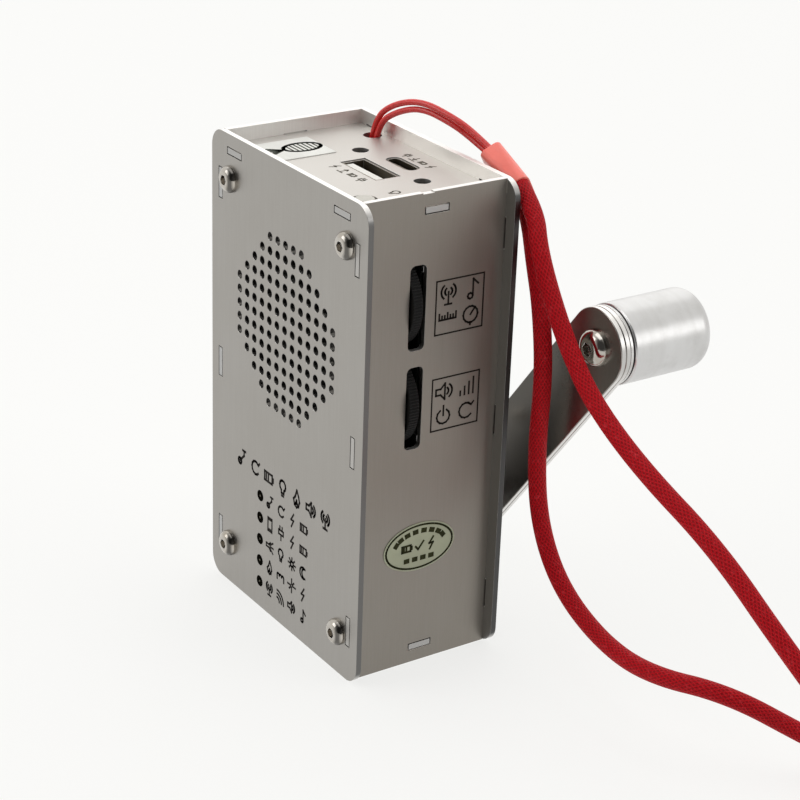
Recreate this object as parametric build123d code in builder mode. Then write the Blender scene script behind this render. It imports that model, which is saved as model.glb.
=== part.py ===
"""Pocket hand crank generator with a radio, a lamp and charging ports, in a tabbed sheet steel case.

The origin lies on the standing plane, under the middle of the case. The front face, with the
speaker grille, looks along -Y, the thumbwheels come out of the right wall and the crank is
behind the rear wall. All sizes are in millimetres.
"""

from build123d import *
from math import acos, cos, pi, radians, sin, sqrt, tan

# ---------------------------------------------------------------- sizes of the case
box_width = 60.0
box_height = 103.0
box_depth = 35.0
sheet = 1.2
corner_radius = 4.0
plate_inset = 3.0  # the side, top and bottom walls stand in from the front plate's outline
tab_clearance = 0.25  # round a tab in its slot
side_tab_length = 6.4
side_tab_margin = 11.3  # from the top and bottom edges to the outer tabs' middles
cross_tab_length = 5.5
cross_tab_x = 20.7
end_tab_length = 5.2
edge_notch_length = 2.6
edge_notch_depth = 0.25
edge_notch_y = -2.1

# ---------------------------------------------------------------- case screws and standoffs
screw_x = 22.5
screw_margin = 9.5  # from the case's top and bottom edges to the screws
screw_hole_radius = 1.65
case_screw_radius = 1.5
case_screw_length = 6.0
case_head_radius = 2.85
case_head_height = 1.65
case_socket = 2.0
standoff_flats = 5.0
thread_gap = 0.05  # between a screw, pin or bush and its hole
screw_rim_share = 0.25  # of a round head's height that is straight
screw_crown_share = 0.45  # of a round head's radius that is flat on top
screw_bulge = 0.18  # of the arc between rim and crown
socket_depth_share = 0.6  # of a head's height

# ---------------------------------------------------------------- openings in the walls
grille_pitch = 3.04
grille_hole_radius = 0.95
grille_rows = 13
grille_cut_corner = 4  # rows over which each corner of the grille steps in
grille_drop = 35.0  # from the case's top edge to the grille's middle
engraving_depth = 0.12
bullet_radius = 1.25
bullet_x = -9.15
bullet_pitch = 5.15
bullet_rows = 5
first_bullet_z = 26.8
wheel_slot_width = 3.85
wheel_slot_y = -3.75
wheel_slot_length = 17.8
wheel_slot_corner = 1.2

# ---------------------------------------------------------------- thumbwheels and radio board
wheel_radius = 10.0
wheel_thickness = 2.2
wheel_proud = 1.3  # how far a wheel stands out of the right wall
wheel_grooves = 96
wheel_groove_radius = 0.2
wheel_slot_gap = 0.25  # between a wheel and the front edge of its slot
tuning_drop = 23.4  # from the case's top edge to the tuning wheel's spindle
volume_drop = 44.7
spindle_radius = 2.5
spindle_reach = 3.0  # into the control behind the board
running_gap = 0.05
radio_board_thickness = 1.6
radio_board_width = 15.6
radio_board_height = 41.6
radio_board_gap = 1.35  # behind the wheels
control_size = 12.0
control_depth = 4.6
bracket_thickness = 0.8
bracket_leg = 4.0
bracket_height = 3.4
bracket_spread = 38.2
bracket_port_gap = 0.5

# ---------------------------------------------------------------- charger board and ports
charger_board_x = 2.0
charger_board_width = 32.0
charger_board_y = 4.9  # front face of the board
charger_board_thickness = 1.6
charger_board_drop = 6.2  # from the top wall's underside to the board
charger_board_height = 25.0
port_recess = 0.15  # of the ports' mouths below the top wall's outer face
port_clearance = 0.2
usb_a_x = 2.05
usb_a_width = 13.0
usb_a_height = 5.6
usb_a_length = 14.0
usb_a_wall = 0.35
usb_a_tongue_thickness = 1.9
usb_a_tongue_width = 11.1
usb_a_tongue_recess = 0.2
usb_a_standoff = 1.4  # of the shell off the board
usb_a_back = 3.0
usb_c_x = 2.2
usb_c_width = 8.94
usb_c_height = 3.2
usb_c_corner = 1.55
usb_c_length = 7.5
usb_c_wall = 0.3
usb_c_standoff = 0.3
usb_c_tongue_thickness = 0.7
usb_c_tongue_width = 6.7
usb_c_tongue_recess = 0.8
usb_c_back = 2.0
lamp_hole_radius = 1.75
lamp_radius = 1.5
lamp_left_x = -9.4
lamp_right_x = 13.3
lamp_tip_recess = 0.5
lamp_body_length = 4.2
lamp_flange_radius = 1.9
lamp_flange_height = 0.8
lamp_lead = 0.5
lamp_lead_overlap = 2.0
capacitor_radius = 3.0
capacitor_length = 7.0
capacitor_places = [(0, -7), (8, -7)]  # across and up from the middle of the board
inductor_size = 7.0
inductor_height = 3.0
inductor_corner = 1.4
inductor_places = [(-9, -3)]
chip_size = 4.0
chip_height = 1.2
chip_places = [(0, 1), (8, 1)]

# ---------------------------------------------------------------- lamp button
button_x = 17.4
button_y = -10.4
button_hole_radius = 2.3
button_radius = 2.05
button_proud = 0.3
button_skirt_radius = 2.75
button_skirt_height = 0.5
button_travel = 0.4
switch_size = 4.4
switch_height = 1.6
button_board_thickness = 1.0
button_board_width = 10.6
button_board_depth = 8.0
button_board_shift = -2.9  # of the board's middle from the button's axis
hanger_thickness = 0.8
hanger_width = 5.0

# ---------------------------------------------------------------- speaker
speaker_radius = 20.0
speaker_rim_thickness = 1.2
speaker_rim_width = 2.0
speaker_frame_thickness = 0.7
speaker_frame_depth = 6.2
speaker_neck_radius = 9.6
speaker_cone_gap = 0.35
speaker_cone_thickness = 0.5
speaker_cap_radius = 5.0
speaker_magnet_radius = 9.0
speaker_magnet_depth = 5.0
speaker_clamp_thickness = 0.8
speaker_clamp_length = 4.0
speaker_clamp_width = 4.0
speaker_clamp_grip = 1.0  # of a clamp's lip over the rim
speaker_clamp_angles = (62, 118, 242, 298)
speaker_magnet_chamfer = 0.4
speaker_cap_rise = 1.0  # of the dust cap inside the cone

# ---------------------------------------------------------------- battery
battery_width = 36.0
battery_height = 35.0
battery_thickness = 6.0
battery_edge_radius = 2.0
battery_rounding = 1.0
battery_lift = 0.4  # over the bottom wall

# ---------------------------------------------------------------- gears
tooth_module = 0.5
pressure_angle = 25.0
addendum_factor = 0.8
root_factor = 1.1
tooth_thinning = 0.05
flank_points = 5
drive_teeth = 60
idler_pinion_teeth = 12
idler_wheel_teeth = 48
generator_teeth = 10
crank_x = 8.0
crank_z = 22.5
idler_angle = 152.7  # direction from the crank shaft to the idler, in the front view
generator_angle = 15.0  # direction from the idler to the generator
gear_plate_y = 3.3  # front face of the gear plate
gear_plate_left = -19.0
gear_plate_right = 20.4
gear_plate_bottom = 14.2
gear_plate_top = 49.0
gear_plate_foot_right = -8.0
gear_plate_foot_bottom = 6.5
gear_plate_corner = 2.0
idler_wheel_y = 5.3
idler_wheel_face = 3.0
gear_layer_gap = 0.9
drive_face = 3.4
gear_hub_radius = 5.5
gear_hub_end_gap = 0.3
gear_window_count = 5
gear_window_radius = 3.0
gear_window_circle = 10.0
idler_pin_radius = 1.5
idler_front_shoulder_radius = 3.0
idler_rear_shoulder_radius = 2.4
pillar_radius = 2.25
pillar_points = [(-15.5, 10.5), (17.2, 45.6), (-14.5, 45.6)]
small_screw_radius = 1.2
small_hole_clearance = 0.12  # round the gearbox screws and the generator boss
small_screw_length = 4.0
small_head_radius = 1.9
small_head_height = 1.1
small_socket = 1.3

# ---------------------------------------------------------------- generator
generator_radius = 12.2
generator_length = 12.0
generator_wall = 0.8
generator_cap_thickness = 1.6
magnet_thickness = 2.4
magnet_span = 130.0
magnet_length = 7.0
armature_radius = 7.6
armature_length = 5.0
armature_slots = 3
armature_slot_width = 1.6
armature_slot_depth = 4.4
commutator_radius = 3.0
commutator_length = 1.6
generator_shaft_radius = 1.0
generator_boss_radius = 3.4
generator_boss_height = 0.8
generator_screw_circle = 8.0
generator_screw_angles = (-30.0, 90.0)

# ---------------------------------------------------------------- crank and handle
shaft_radius = 3.0
shaft_flat = 0.6  # depth of the flat that carries the gear and the hub
bush_radius = 4.2
bush_length = 3.4
bearing_radius = 5.0
bearing_flange_radius = 6.6
bearing_flange_thickness = 1.0
crank_gap = 6.5  # from the rear plate's outer face to the arm
hub_radius = 7.0
end_gap = 0.3  # play at the ends of the turning pieces
key_size = 6.4
key_gap = 0.1
arm_sheet = 1.2
arm_radius = 8.0
arm_length = 65.0
arm_angle = 51.8  # of the arm over +X in the front view
arm_edge_break = 0.15
handle_screw_radius = 2.0
handle_screw_length = 9.0
handle_head_radius = 3.8
handle_head_height = 2.2
handle_socket = 2.5
hub_screw_radius = 1.5
hub_screw_length = 7.0
hub_washer_radius = 5.6
hub_washer_thickness = 0.8
grip_washer_thickness = 0.6
grip_gap = 0.4
grip_radius = 8.25
grip_length = 20.0
grip_end_radius = 3.0
grip_near_edge = 0.4
grip_end_flat = 0.2  # least flat ring between the rounded end and the cap
axle_radius = 3.0
axle_head_radius = 4.4
axle_head_height = 2.0
axle_head_gap = 0.3
axle_shoulder_gap = 0.3
grip_cap_radius = 5.4
grip_cap_thickness = 1.5
grip_cap_gap = 0.04

# ---------------------------------------------------------------- radio aerial
ferrite_radius = 3.6
ferrite_length = 38.0
ferrite_x = -4.5
ferrite_drop = 44.0  # from the case's top edge to the rod's axis
ferrite_wall_gap = 1.8  # between the rod and the rear plate
coil_radius = 4.3
coil_length = 12.0
clip_wall = 1.2
clip_width = 3.0
clip_inset = 4.0
clip_fit = 0.04

# ---------------------------------------------------------------- labels
sticker_length = 17.3
sticker_width = 10.7
sticker_y = -1.1
sticker_z = 27.0
label_thickness = 0.15
top_label_width = 11.7
top_label_depth = 13.0
top_label_x = -16.2
top_label_y = -6.0

# ---------------------------------------------------------------- strap
strap_hole_radius = 2.0
strap_hole_x = -17.0
strap_hole_y = 13.5
strand_radius = 0.65
knot_radius = 2.45
knot_height = 4.0
knot_rounding = 0.8
knot_gap = 0.2  # under the top wall
cord_radius = 1.85
corner_share = 0.45  # of a cord's shorter run that its arc takes up on each side of a corner
strap_wall_z = 100.0  # the top wall's height for which the strap's points are given
strap_bend_z = 82.0  # above this the strap moves with the top wall as one
sleeve_top_point = (13.1, 22.5, 103.3)
sleeve_bottom_point = (25.0, 21.9, 98.8)
strand_offset = (0.62, -1.09, 1.46)  # from the sleeve's middle to the nearer strand of the loop
sleeve_top_size = (4.4, 4.8)
sleeve_top_corner = 1.3
sleeve_bottom_size = (8.0, 4.2)
sleeve_bottom_corner = 2.0

# The two thin strands rise from the knot, arch over the rear plate and end in the sleeve.
outer_strand_points = [
    (-17.72, 13.5, 96.5),
    (-17.1, 13.9, 103.4),
    (-12.7, 15.6, 107.6),
    (-5.0, 17.5, 110.0),
    (3.7, 19.7, 108.3),
    (8.2, 21.4, 106.3),
    (14.4, 22.4, 103.5),
]
inner_strand_points = [
    (-16.28, 13.5, 96.5),
    (-15.7, 13.9, 102.8),
    (-11.4, 15.8, 106.3),
    (-4.9, 17.6, 108.5),
    (2.9, 19.8, 106.9),
    (7.1, 21.5, 104.9),
    (13.8, 22.6, 102.3),
]

# The wrist loop leaves the sleeve, hangs beside the case, lies on the floor behind and returns.
wrist_loop_points = [
    (23.3, 23.0, 97.8),
    (28.2, 21.5, 94.0),
    (33.2, 19.4, 87.4),
    (36.6, 19.1, 79.0),
    (38.8, 19.1, 65.0),
    (37.9, 19.1, 48.5),
    (40.2, 19.1, 33.3),
    (48.4, 19.1, 22.2),
    (62.5, 19.1, 16.6),
    (77.5, 18.9, 16.8),
    (92.8, 25.6, 18.6),
    (102.0, 38.5, 10.0),
    (110.0, 50.5, 2.4),
    (123.0, 56.5, 2.0),
    (135.0, 49.5, 2.0),
    (136.0, 37.5, 7.0),
    (126.0, 29.5, 21.0),
    (108.0, 23.5, 37.0),
    (91.0, 20.5, 50.2),
    (72.5, 17.1, 59.2),
    (57.6, 16.5, 67.2),
    (49.4, 16.5, 75.0),
    (43.2, 16.6, 82.8),
    (37.4, 17.0, 91.4),
    (31.8, 19.9, 97.2),
    (24.5, 20.9, 100.7),
]

# ---------------------------------------------------------------- places worked out from the sizes
front_y = -box_depth / 2
rear_y = box_depth / 2
inner_front_y = front_y + sheet
inner_rear_y = rear_y - sheet
inner_depth = box_depth - 2 * sheet
side_x = box_width / 2 - plate_inset
inner_side_x = side_x - sheet
top_z = box_height - plate_inset
inner_top_z = top_z - sheet
inner_bottom_z = plate_inset + sheet
middle_z = box_height / 2
tab_slot = sheet + 2 * tab_clearance
side_tab_pitch = middle_z - side_tab_margin
grille_z = box_height - grille_drop
screw_points = [
    (x, z) for x in (-screw_x, screw_x) for z in (screw_margin, box_height - screw_margin)
]

first_distance = tooth_module * (drive_teeth + idler_pinion_teeth) / 2
second_distance = tooth_module * (idler_wheel_teeth + generator_teeth) / 2
idler_x = crank_x + first_distance * cos(radians(idler_angle))
idler_z = crank_z + first_distance * sin(radians(idler_angle))
generator_x = idler_x + second_distance * cos(radians(generator_angle))
generator_z = idler_z + second_distance * sin(radians(generator_angle))
gear_plate_back = gear_plate_y + sheet
drive_y = idler_wheel_y + idler_wheel_face + gear_layer_gap
drive_end = drive_y + drive_face
bearing_y = inner_rear_y - bearing_flange_thickness
generator_front = gear_plate_y - generator_length
generator_screw_points = [
    (
        generator_x + generator_screw_circle * cos(radians(angle)),
        generator_z + generator_screw_circle * sin(radians(angle)),
    )
    for angle in generator_screw_angles
]

wheel_x = side_x + wheel_proud - wheel_radius
tuning_z = box_height - tuning_drop
volume_z = box_height - volume_drop
wheel_back = wheel_slot_y - wheel_slot_width / 2 + wheel_slot_gap + wheel_thickness
radio_board_y = wheel_back + radio_board_gap
control_y = radio_board_y + radio_board_thickness
radio_board_x = inner_side_x - bracket_thickness - radio_board_width / 2
radio_board_z = (tuning_z + volume_z) / 2

charger_board_back = charger_board_y + charger_board_thickness
charger_board_top = inner_top_z - charger_board_drop
port_z = top_z - port_recess
usb_a_y = charger_board_y - usb_a_standoff - usb_a_height / 2
usb_c_y = charger_board_back + usb_c_standoff + usb_c_height / 2
lamp_y = charger_board_y + charger_board_thickness / 2
lamp_base_z = top_z - lamp_tip_recess - lamp_body_length

arm_y = rear_y + crank_gap
arm_back = arm_y + 2 * arm_sheet
handle_x = crank_x + arm_length * cos(radians(arm_angle))
handle_z = crank_z + arm_length * sin(radians(arm_angle))
grip_y = arm_back + grip_washer_thickness + grip_gap
grip_end = grip_y + grip_length
axle_base_y = arm_back + grip_washer_thickness
axle_seat_y = grip_end - grip_cap_thickness - axle_head_gap - axle_head_height
ferrite_y = inner_rear_y - ferrite_wall_gap - ferrite_radius
ferrite_z = box_height - ferrite_drop


def facing_front(y):
    """Plane across the case at y, drawn as seen from the front; it extrudes towards the front."""
    return Plane((0, y, 0), x_dir=(1, 0, 0), z_dir=(0, -1, 0))


def slab(y_near, y_far):
    """Extrude the pending sketch, which lies at y_far, forward to y_near."""
    extrude(amount=y_far - y_near)


def finish_part(part, name):
    part.label = name
    export_step(part, f"parts/{name}.step")


# ================================================================ case walls
def case_face_profile():
    """Outline, tab slots and screw holes that the front and rear plates share."""
    with Locations((0, middle_z)):
        RectangleRounded(box_width, box_height, corner_radius)
        with GridLocations(2 * (side_x - sheet / 2), side_tab_pitch, 2, 3):
            Rectangle(tab_slot, side_tab_length + 2 * tab_clearance, mode=Mode.SUBTRACT)
        with Locations(*[(side * cross_tab_x, top_z - sheet / 2 - middle_z) for side in (-1, 1)]):
            Rectangle(cross_tab_length + 2 * tab_clearance, tab_slot, mode=Mode.SUBTRACT)
    with Locations(*screw_points):
        Circle(screw_hole_radius, mode=Mode.SUBTRACT)


def grille_points():
    """Square grid of holes whose corners step in by one hole a row."""
    half = (grille_rows - 1) // 2
    reach = 2 * half - grille_cut_corner
    return [
        (column * grille_pitch, grille_z + row * grille_pitch)
        for row in range(-half, half + 1)
        for column in range(-half, half + 1)
        if abs(row) + abs(column) <= reach
    ]


with BuildPart() as front_plate:
    with BuildSketch(facing_front(inner_front_y)):
        case_face_profile()
        with Locations(*grille_points()):
            Circle(grille_hole_radius, mode=Mode.SUBTRACT)
    slab(front_y, inner_front_y)
    with BuildSketch(facing_front(front_y)):
        with Locations(*[(bullet_x, first_bullet_z - i * bullet_pitch) for i in range(bullet_rows)]):
            Circle(bullet_radius)
    extrude(amount=-engraving_depth, mode=Mode.SUBTRACT)
finish_part(front_plate.part, "front_plate")

with BuildPart() as rear_plate:
    with BuildSketch(facing_front(rear_y)):
        case_face_profile()
        with Locations((crank_x, crank_z)):
            Circle(bearing_radius, mode=Mode.SUBTRACT)
        with Locations(*pillar_points):
            Circle(small_screw_radius + small_hole_clearance, mode=Mode.SUBTRACT)
    slab(inner_rear_y, rear_y)
finish_part(rear_plate.part, "rear_plate")


def side_wall_profile():
    """Full height wall with tabs through the front and rear plates and slots for two end tabs."""
    with Locations((0, middle_z)):
        Rectangle(inner_depth, box_height)
        with GridLocations(0, side_tab_pitch, 1, 3):
            Rectangle(box_depth, side_tab_length)
        with GridLocations(0, 2 * (top_z - sheet / 2 - middle_z), 1, 2):
            Rectangle(end_tab_length + 2 * tab_clearance, tab_slot, mode=Mode.SUBTRACT)


with BuildPart() as left_plate:
    with BuildSketch(Plane.YZ.offset(-side_x)):
        side_wall_profile()
    extrude(amount=sheet)
finish_part(left_plate.part, "left_plate")

with BuildPart() as right_plate:
    with BuildSketch(Plane.YZ.offset(inner_side_x)):
        side_wall_profile()
        with Locations((wheel_slot_y, tuning_z), (wheel_slot_y, volume_z)):
            RectangleRounded(
                wheel_slot_width, wheel_slot_length, wheel_slot_corner, mode=Mode.SUBTRACT
            )
        with Locations((edge_notch_y, box_height)):
            Rectangle(edge_notch_length, 2 * edge_notch_depth, mode=Mode.SUBTRACT)
    extrude(amount=sheet)
finish_part(right_plate.part, "right_plate")


def cross_wall_profile():
    """Wall between the side plates, with an end tab through each of them."""
    Rectangle(2 * inner_side_x, inner_depth)
    Rectangle(2 * side_x, end_tab_length)


with BuildPart() as top_plate:
    with BuildSketch(Plane.XY.offset(inner_top_z)):
        cross_wall_profile()
        with GridLocations(2 * cross_tab_x, 0, 2, 1):
            Rectangle(cross_tab_length, box_depth)
        with Locations((usb_a_x, usb_a_y)):
            Rectangle(
                usb_a_width + 2 * port_clearance,
                usb_a_height + 2 * port_clearance,
                mode=Mode.SUBTRACT,
            )
        with Locations((usb_c_x, usb_c_y)):
            RectangleRounded(
                usb_c_width + 2 * port_clearance,
                usb_c_height + 2 * port_clearance,
                usb_c_corner + port_clearance,
                mode=Mode.SUBTRACT,
            )
        with Locations((lamp_left_x, lamp_y), (lamp_right_x, lamp_y)):
            Circle(lamp_hole_radius, mode=Mode.SUBTRACT)
        with Locations((button_x, button_y)):
            Circle(button_hole_radius, mode=Mode.SUBTRACT)
        with Locations((strap_hole_x, strap_hole_y)):
            Circle(strap_hole_radius, mode=Mode.SUBTRACT)
    extrude(amount=sheet)
finish_part(top_plate.part, "top_plate")

with BuildPart() as bottom_plate:
    with BuildSketch(Plane.XY.offset(plate_inset)):
        cross_wall_profile()
    extrude(amount=sheet)
finish_part(bottom_plate.part, "bottom_plate")


# ================================================================ screws
def socket_screw(head_radius, head_height, shank_radius, length, socket):
    """Round headed screw that stands on the origin with its head up and its shank below."""
    rim = head_height * screw_rim_share
    crown = head_radius * screw_crown_share
    rise = head_height - rim
    run = head_radius - crown
    middle = (
        (head_radius + crown) / 2 + screw_bulge * rise,
        (head_height + rim) / 2 + screw_bulge * run,
    )
    with BuildPart() as screw:
        with BuildSketch(Plane.XZ):
            with BuildLine():
                Polyline(
                    (0, head_height),
                    (0, -length),
                    (shank_radius, -length),
                    (shank_radius, 0),
                    (head_radius, 0),
                    (head_radius, rim),
                )
                ThreePointArc((head_radius, rim), middle, (crown, head_height))
                Line((crown, head_height), (0, head_height))
            make_face()
        revolve(axis=Axis.Z)
        with BuildSketch(Plane.XY.offset(head_height)):
            RegularPolygon(socket / 2, 6, major_radius=False)
        extrude(amount=-socket_depth_share * head_height, mode=Mode.SUBTRACT)
    return screw.part


head_to_front = (90, 0, 0)
head_to_rear = (-90, 0, 0)
case_screw = socket_screw(
    case_head_radius, case_head_height, case_screw_radius, case_screw_length, case_socket
)
small_screw = socket_screw(
    small_head_radius, small_head_height, small_screw_radius, small_screw_length, small_socket
)

with BuildPart() as front_screws:
    with Locations(*[Location((x, front_y, z), head_to_front) for x, z in screw_points]):
        add(case_screw)
finish_part(front_screws.part, "front_screws")

with BuildPart() as rear_screws:
    with Locations(*[Location((x, rear_y, z), head_to_rear) for x, z in screw_points]):
        add(case_screw)
finish_part(rear_screws.part, "rear_screws")

with BuildPart() as standoffs:
    with BuildSketch(facing_front(inner_rear_y)):
        with Locations(*screw_points):
            RegularPolygon(standoff_flats / 2, 6, major_radius=False, rotation=30)
            Circle(case_screw_radius + thread_gap, mode=Mode.SUBTRACT)
    slab(inner_front_y, inner_rear_y)
finish_part(standoffs.part, "standoffs")


# ================================================================ gears
def involute_angle(radius, base_radius):
    """Angle that an involute has turned through where it reaches a radius."""
    if radius <= base_radius:
        return 0.0
    lean = acos(base_radius / radius)
    return tan(lean) - lean


def gear_outline(teeth, first_tooth):
    """Points round an involute gear whose first tooth points along first_tooth, in degrees."""
    pitch = tooth_module * teeth / 2
    base = pitch * cos(radians(pressure_angle))
    tip = pitch + addendum_factor * tooth_module
    root = pitch - root_factor * tooth_module
    half_tooth = (pi * tooth_module / 2 - tooth_thinning) / 2 / pitch
    start = max(root, base)
    radii = [start + (tip - start) * i / (flank_points - 1) for i in range(flank_points)]
    flank = [(r, half_tooth + involute_angle(pitch, base) - involute_angle(r, base)) for r in radii]
    if root < base:
        flank = [(root, flank[0][1])] + flank
    points = []
    for tooth in range(teeth):
        middle = radians(first_tooth) + 2 * pi * tooth / teeth
        side = [(r, middle - turn) for r, turn in flank]
        side += [(r, middle + turn) for r, turn in reversed(flank)]
        points += [(r * cos(angle), r * sin(angle)) for r, angle in side]
    return points


def gear_face(teeth, first_tooth):
    """Toothed face about the origin."""
    with BuildSketch() as face:
        with BuildLine():
            Polyline(*gear_outline(teeth, first_tooth), close=True)
        make_face()
    return face.sketch


def flatted_face(radius, flat):
    """Face of a shaft of this radius with a flat cut to this depth on its right side."""
    reach = radius - flat
    rise = sqrt(radius**2 - reach**2)
    with BuildSketch() as face:
        with BuildLine():
            Line((reach, -rise), (reach, rise))
            ThreePointArc((reach, rise), (-radius, 0), (reach, -rise))
        make_face()
    return face.sketch


drive_gear_face = gear_face(drive_teeth, idler_angle)
idler_wheel_profile = gear_face(idler_wheel_teeth, generator_angle)
idler_pinion_profile = gear_face(idler_pinion_teeth, idler_angle + 180 + 180 / idler_pinion_teeth)
generator_pinion_profile = gear_face(generator_teeth, generator_angle + 180 + 180 / generator_teeth)
shaft_face = flatted_face(shaft_radius, shaft_flat)
shaft_bore = flatted_face(shaft_radius + thread_gap, shaft_flat)

with BuildPart() as gear_plate:
    with BuildSketch(facing_front(gear_plate_back)) as gear_plate_face:
        with BuildLine():
            Polyline(
                (gear_plate_left, gear_plate_foot_bottom),
                (gear_plate_foot_right, gear_plate_foot_bottom),
                (gear_plate_foot_right, gear_plate_bottom),
                (gear_plate_right, gear_plate_bottom),
                (gear_plate_right, gear_plate_top),
                (gear_plate_left, gear_plate_top),
                close=True,
            )
        make_face()
        fillet(gear_plate_face.vertices().group_by(Axis.Y)[-1], gear_plate_corner)
        with Locations((crank_x, crank_z)):
            Circle(bush_radius, mode=Mode.SUBTRACT)
        with Locations((idler_x, idler_z)):
            Circle(idler_pin_radius + thread_gap, mode=Mode.SUBTRACT)
        with Locations((generator_x, generator_z)):
            Circle(generator_boss_radius + small_hole_clearance, mode=Mode.SUBTRACT)
        with Locations(*pillar_points, *generator_screw_points):
            Circle(small_screw_radius + small_hole_clearance, mode=Mode.SUBTRACT)
    slab(gear_plate_y, gear_plate_back)
finish_part(gear_plate.part, "gear_plate")

with BuildPart() as gear_pillars:
    with BuildSketch(facing_front(inner_rear_y)):
        with Locations(*pillar_points):
            Circle(pillar_radius)
            Circle(small_screw_radius + thread_gap, mode=Mode.SUBTRACT)
    slab(gear_plate_back, inner_rear_y)
finish_part(gear_pillars.part, "gear_pillars")

gearbox_screw_places = [Location((x, gear_plate_y, z), head_to_front) for x, z in pillar_points]
gearbox_screw_places += [Location((x, rear_y, z), head_to_rear) for x, z in pillar_points]
gearbox_screw_places += [
    Location((x, gear_plate_back, z), head_to_rear) for x, z in generator_screw_points
]

with BuildPart() as gearbox_screws:
    with Locations(*gearbox_screw_places):
        add(small_screw)
finish_part(gearbox_screws.part, "gearbox_screws")

with BuildPart() as crank_shaft:
    with BuildSketch(facing_front(arm_y - end_gap)):
        with Locations((crank_x, crank_z)):
            add(shaft_face)
    slab(gear_plate_y + end_gap, arm_y - end_gap)
    with BuildSketch(facing_front(drive_y)):
        with Locations((crank_x, crank_z)):
            Circle(shaft_radius)
    slab(gear_plate_y + end_gap, drive_y)
    with BuildSketch(facing_front(rear_y)):
        with Locations((crank_x, crank_z)):
            Circle(shaft_radius)
    slab(bearing_y, rear_y)
    with BuildSketch(facing_front(arm_y - end_gap)):
        with Locations((crank_x, crank_z)):
            Circle(hub_screw_radius + thread_gap)
    extrude(amount=hub_screw_length, mode=Mode.SUBTRACT)
finish_part(crank_shaft.part, "crank_shaft")

with BuildPart() as drive_gear:
    with BuildSketch(facing_front(drive_end)):
        with Locations((crank_x, crank_z)):
            add(drive_gear_face)
            with PolarLocations(gear_window_circle, gear_window_count):
                Circle(gear_window_radius, mode=Mode.SUBTRACT)
    slab(drive_y, drive_end)
    with BuildSketch(facing_front(bearing_y - gear_hub_end_gap)):
        with Locations((crank_x, crank_z)):
            Circle(gear_hub_radius)
    slab(drive_end, bearing_y - gear_hub_end_gap)
    with BuildSketch(facing_front(bearing_y)):
        with Locations((crank_x, crank_z)):
            add(shaft_bore)
    extrude(amount=bearing_y - drive_y, mode=Mode.SUBTRACT)
finish_part(drive_gear.part, "drive_gear")

with BuildPart() as rear_bearing:
    with BuildSketch(facing_front(rear_y)):
        with Locations((crank_x, crank_z)):
            Circle(bearing_radius - thread_gap)
    slab(bearing_y, rear_y)
    with BuildSketch(facing_front(inner_rear_y)):
        with Locations((crank_x, crank_z)):
            Circle(bearing_flange_radius)
    slab(bearing_y, inner_rear_y)
    with BuildSketch(facing_front(rear_y)):
        with Locations((crank_x, crank_z)):
            Circle(shaft_radius + running_gap)
    extrude(amount=box_depth, mode=Mode.SUBTRACT)
finish_part(rear_bearing.part, "rear_bearing")

with BuildPart() as shaft_bush:
    with BuildSketch(facing_front(gear_plate_y + end_gap + bush_length)):
        with Locations((crank_x, crank_z)):
            Circle(bush_radius - thread_gap)
            Circle(shaft_radius + running_gap, mode=Mode.SUBTRACT)
    extrude(amount=bush_length)
finish_part(shaft_bush.part, "shaft_bush")

with BuildPart() as idler_gear:
    with BuildSketch(facing_front(idler_wheel_y + idler_wheel_face)):
        with Locations((idler_x, idler_z)):
            add(idler_wheel_profile)
    slab(idler_wheel_y, idler_wheel_y + idler_wheel_face)
    with BuildSketch(facing_front(drive_end)):
        with Locations((idler_x, idler_z)):
            add(idler_pinion_profile)
    slab(idler_wheel_y + idler_wheel_face, drive_end)
    with BuildSketch(facing_front(drive_end)):
        with Locations((idler_x, idler_z)):
            Circle(idler_pin_radius + running_gap)
    extrude(amount=box_depth, mode=Mode.SUBTRACT)
finish_part(idler_gear.part, "idler_gear")

with BuildPart() as idler_pin:
    with BuildSketch(facing_front(inner_rear_y)):
        with Locations((idler_x, idler_z)):
            Circle(idler_pin_radius)
    slab(gear_plate_y, inner_rear_y)
    with BuildSketch(facing_front(idler_wheel_y - end_gap)):
        with Locations((idler_x, idler_z)):
            Circle(idler_front_shoulder_radius)
    slab(gear_plate_back, idler_wheel_y - end_gap)
    with BuildSketch(facing_front(inner_rear_y)):
        with Locations((idler_x, idler_z)):
            Circle(idler_rear_shoulder_radius)
    slab(drive_end + end_gap, inner_rear_y)
finish_part(idler_pin.part, "idler_pin")

# ================================================================ generator
generator_cap_back = generator_front + generator_cap_thickness
generator_inner_radius = generator_radius - generator_wall

with BuildPart() as generator_can:
    with BuildSketch(facing_front(gear_plate_y)):
        with Locations((generator_x, generator_z)):
            Circle(generator_radius)
    slab(generator_cap_back, gear_plate_y)
    with BuildSketch(facing_front(gear_plate_y - generator_wall)):
        with Locations((generator_x, generator_z)):
            Circle(generator_inner_radius)
    extrude(amount=generator_length, mode=Mode.SUBTRACT)
    with BuildSketch(facing_front(gear_plate_y + generator_boss_height)):
        with Locations((generator_x, generator_z)):
            Circle(generator_boss_radius)
    slab(gear_plate_y, gear_plate_y + generator_boss_height)
    with BuildSketch(facing_front(gear_plate_y + generator_boss_height)):
        with Locations((generator_x, generator_z)):
            Circle(generator_shaft_radius + running_gap)
        with Locations(*generator_screw_points):
            Circle(small_screw_radius + thread_gap)
    extrude(amount=generator_length, mode=Mode.SUBTRACT)
finish_part(generator_can.part, "generator_can")

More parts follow.
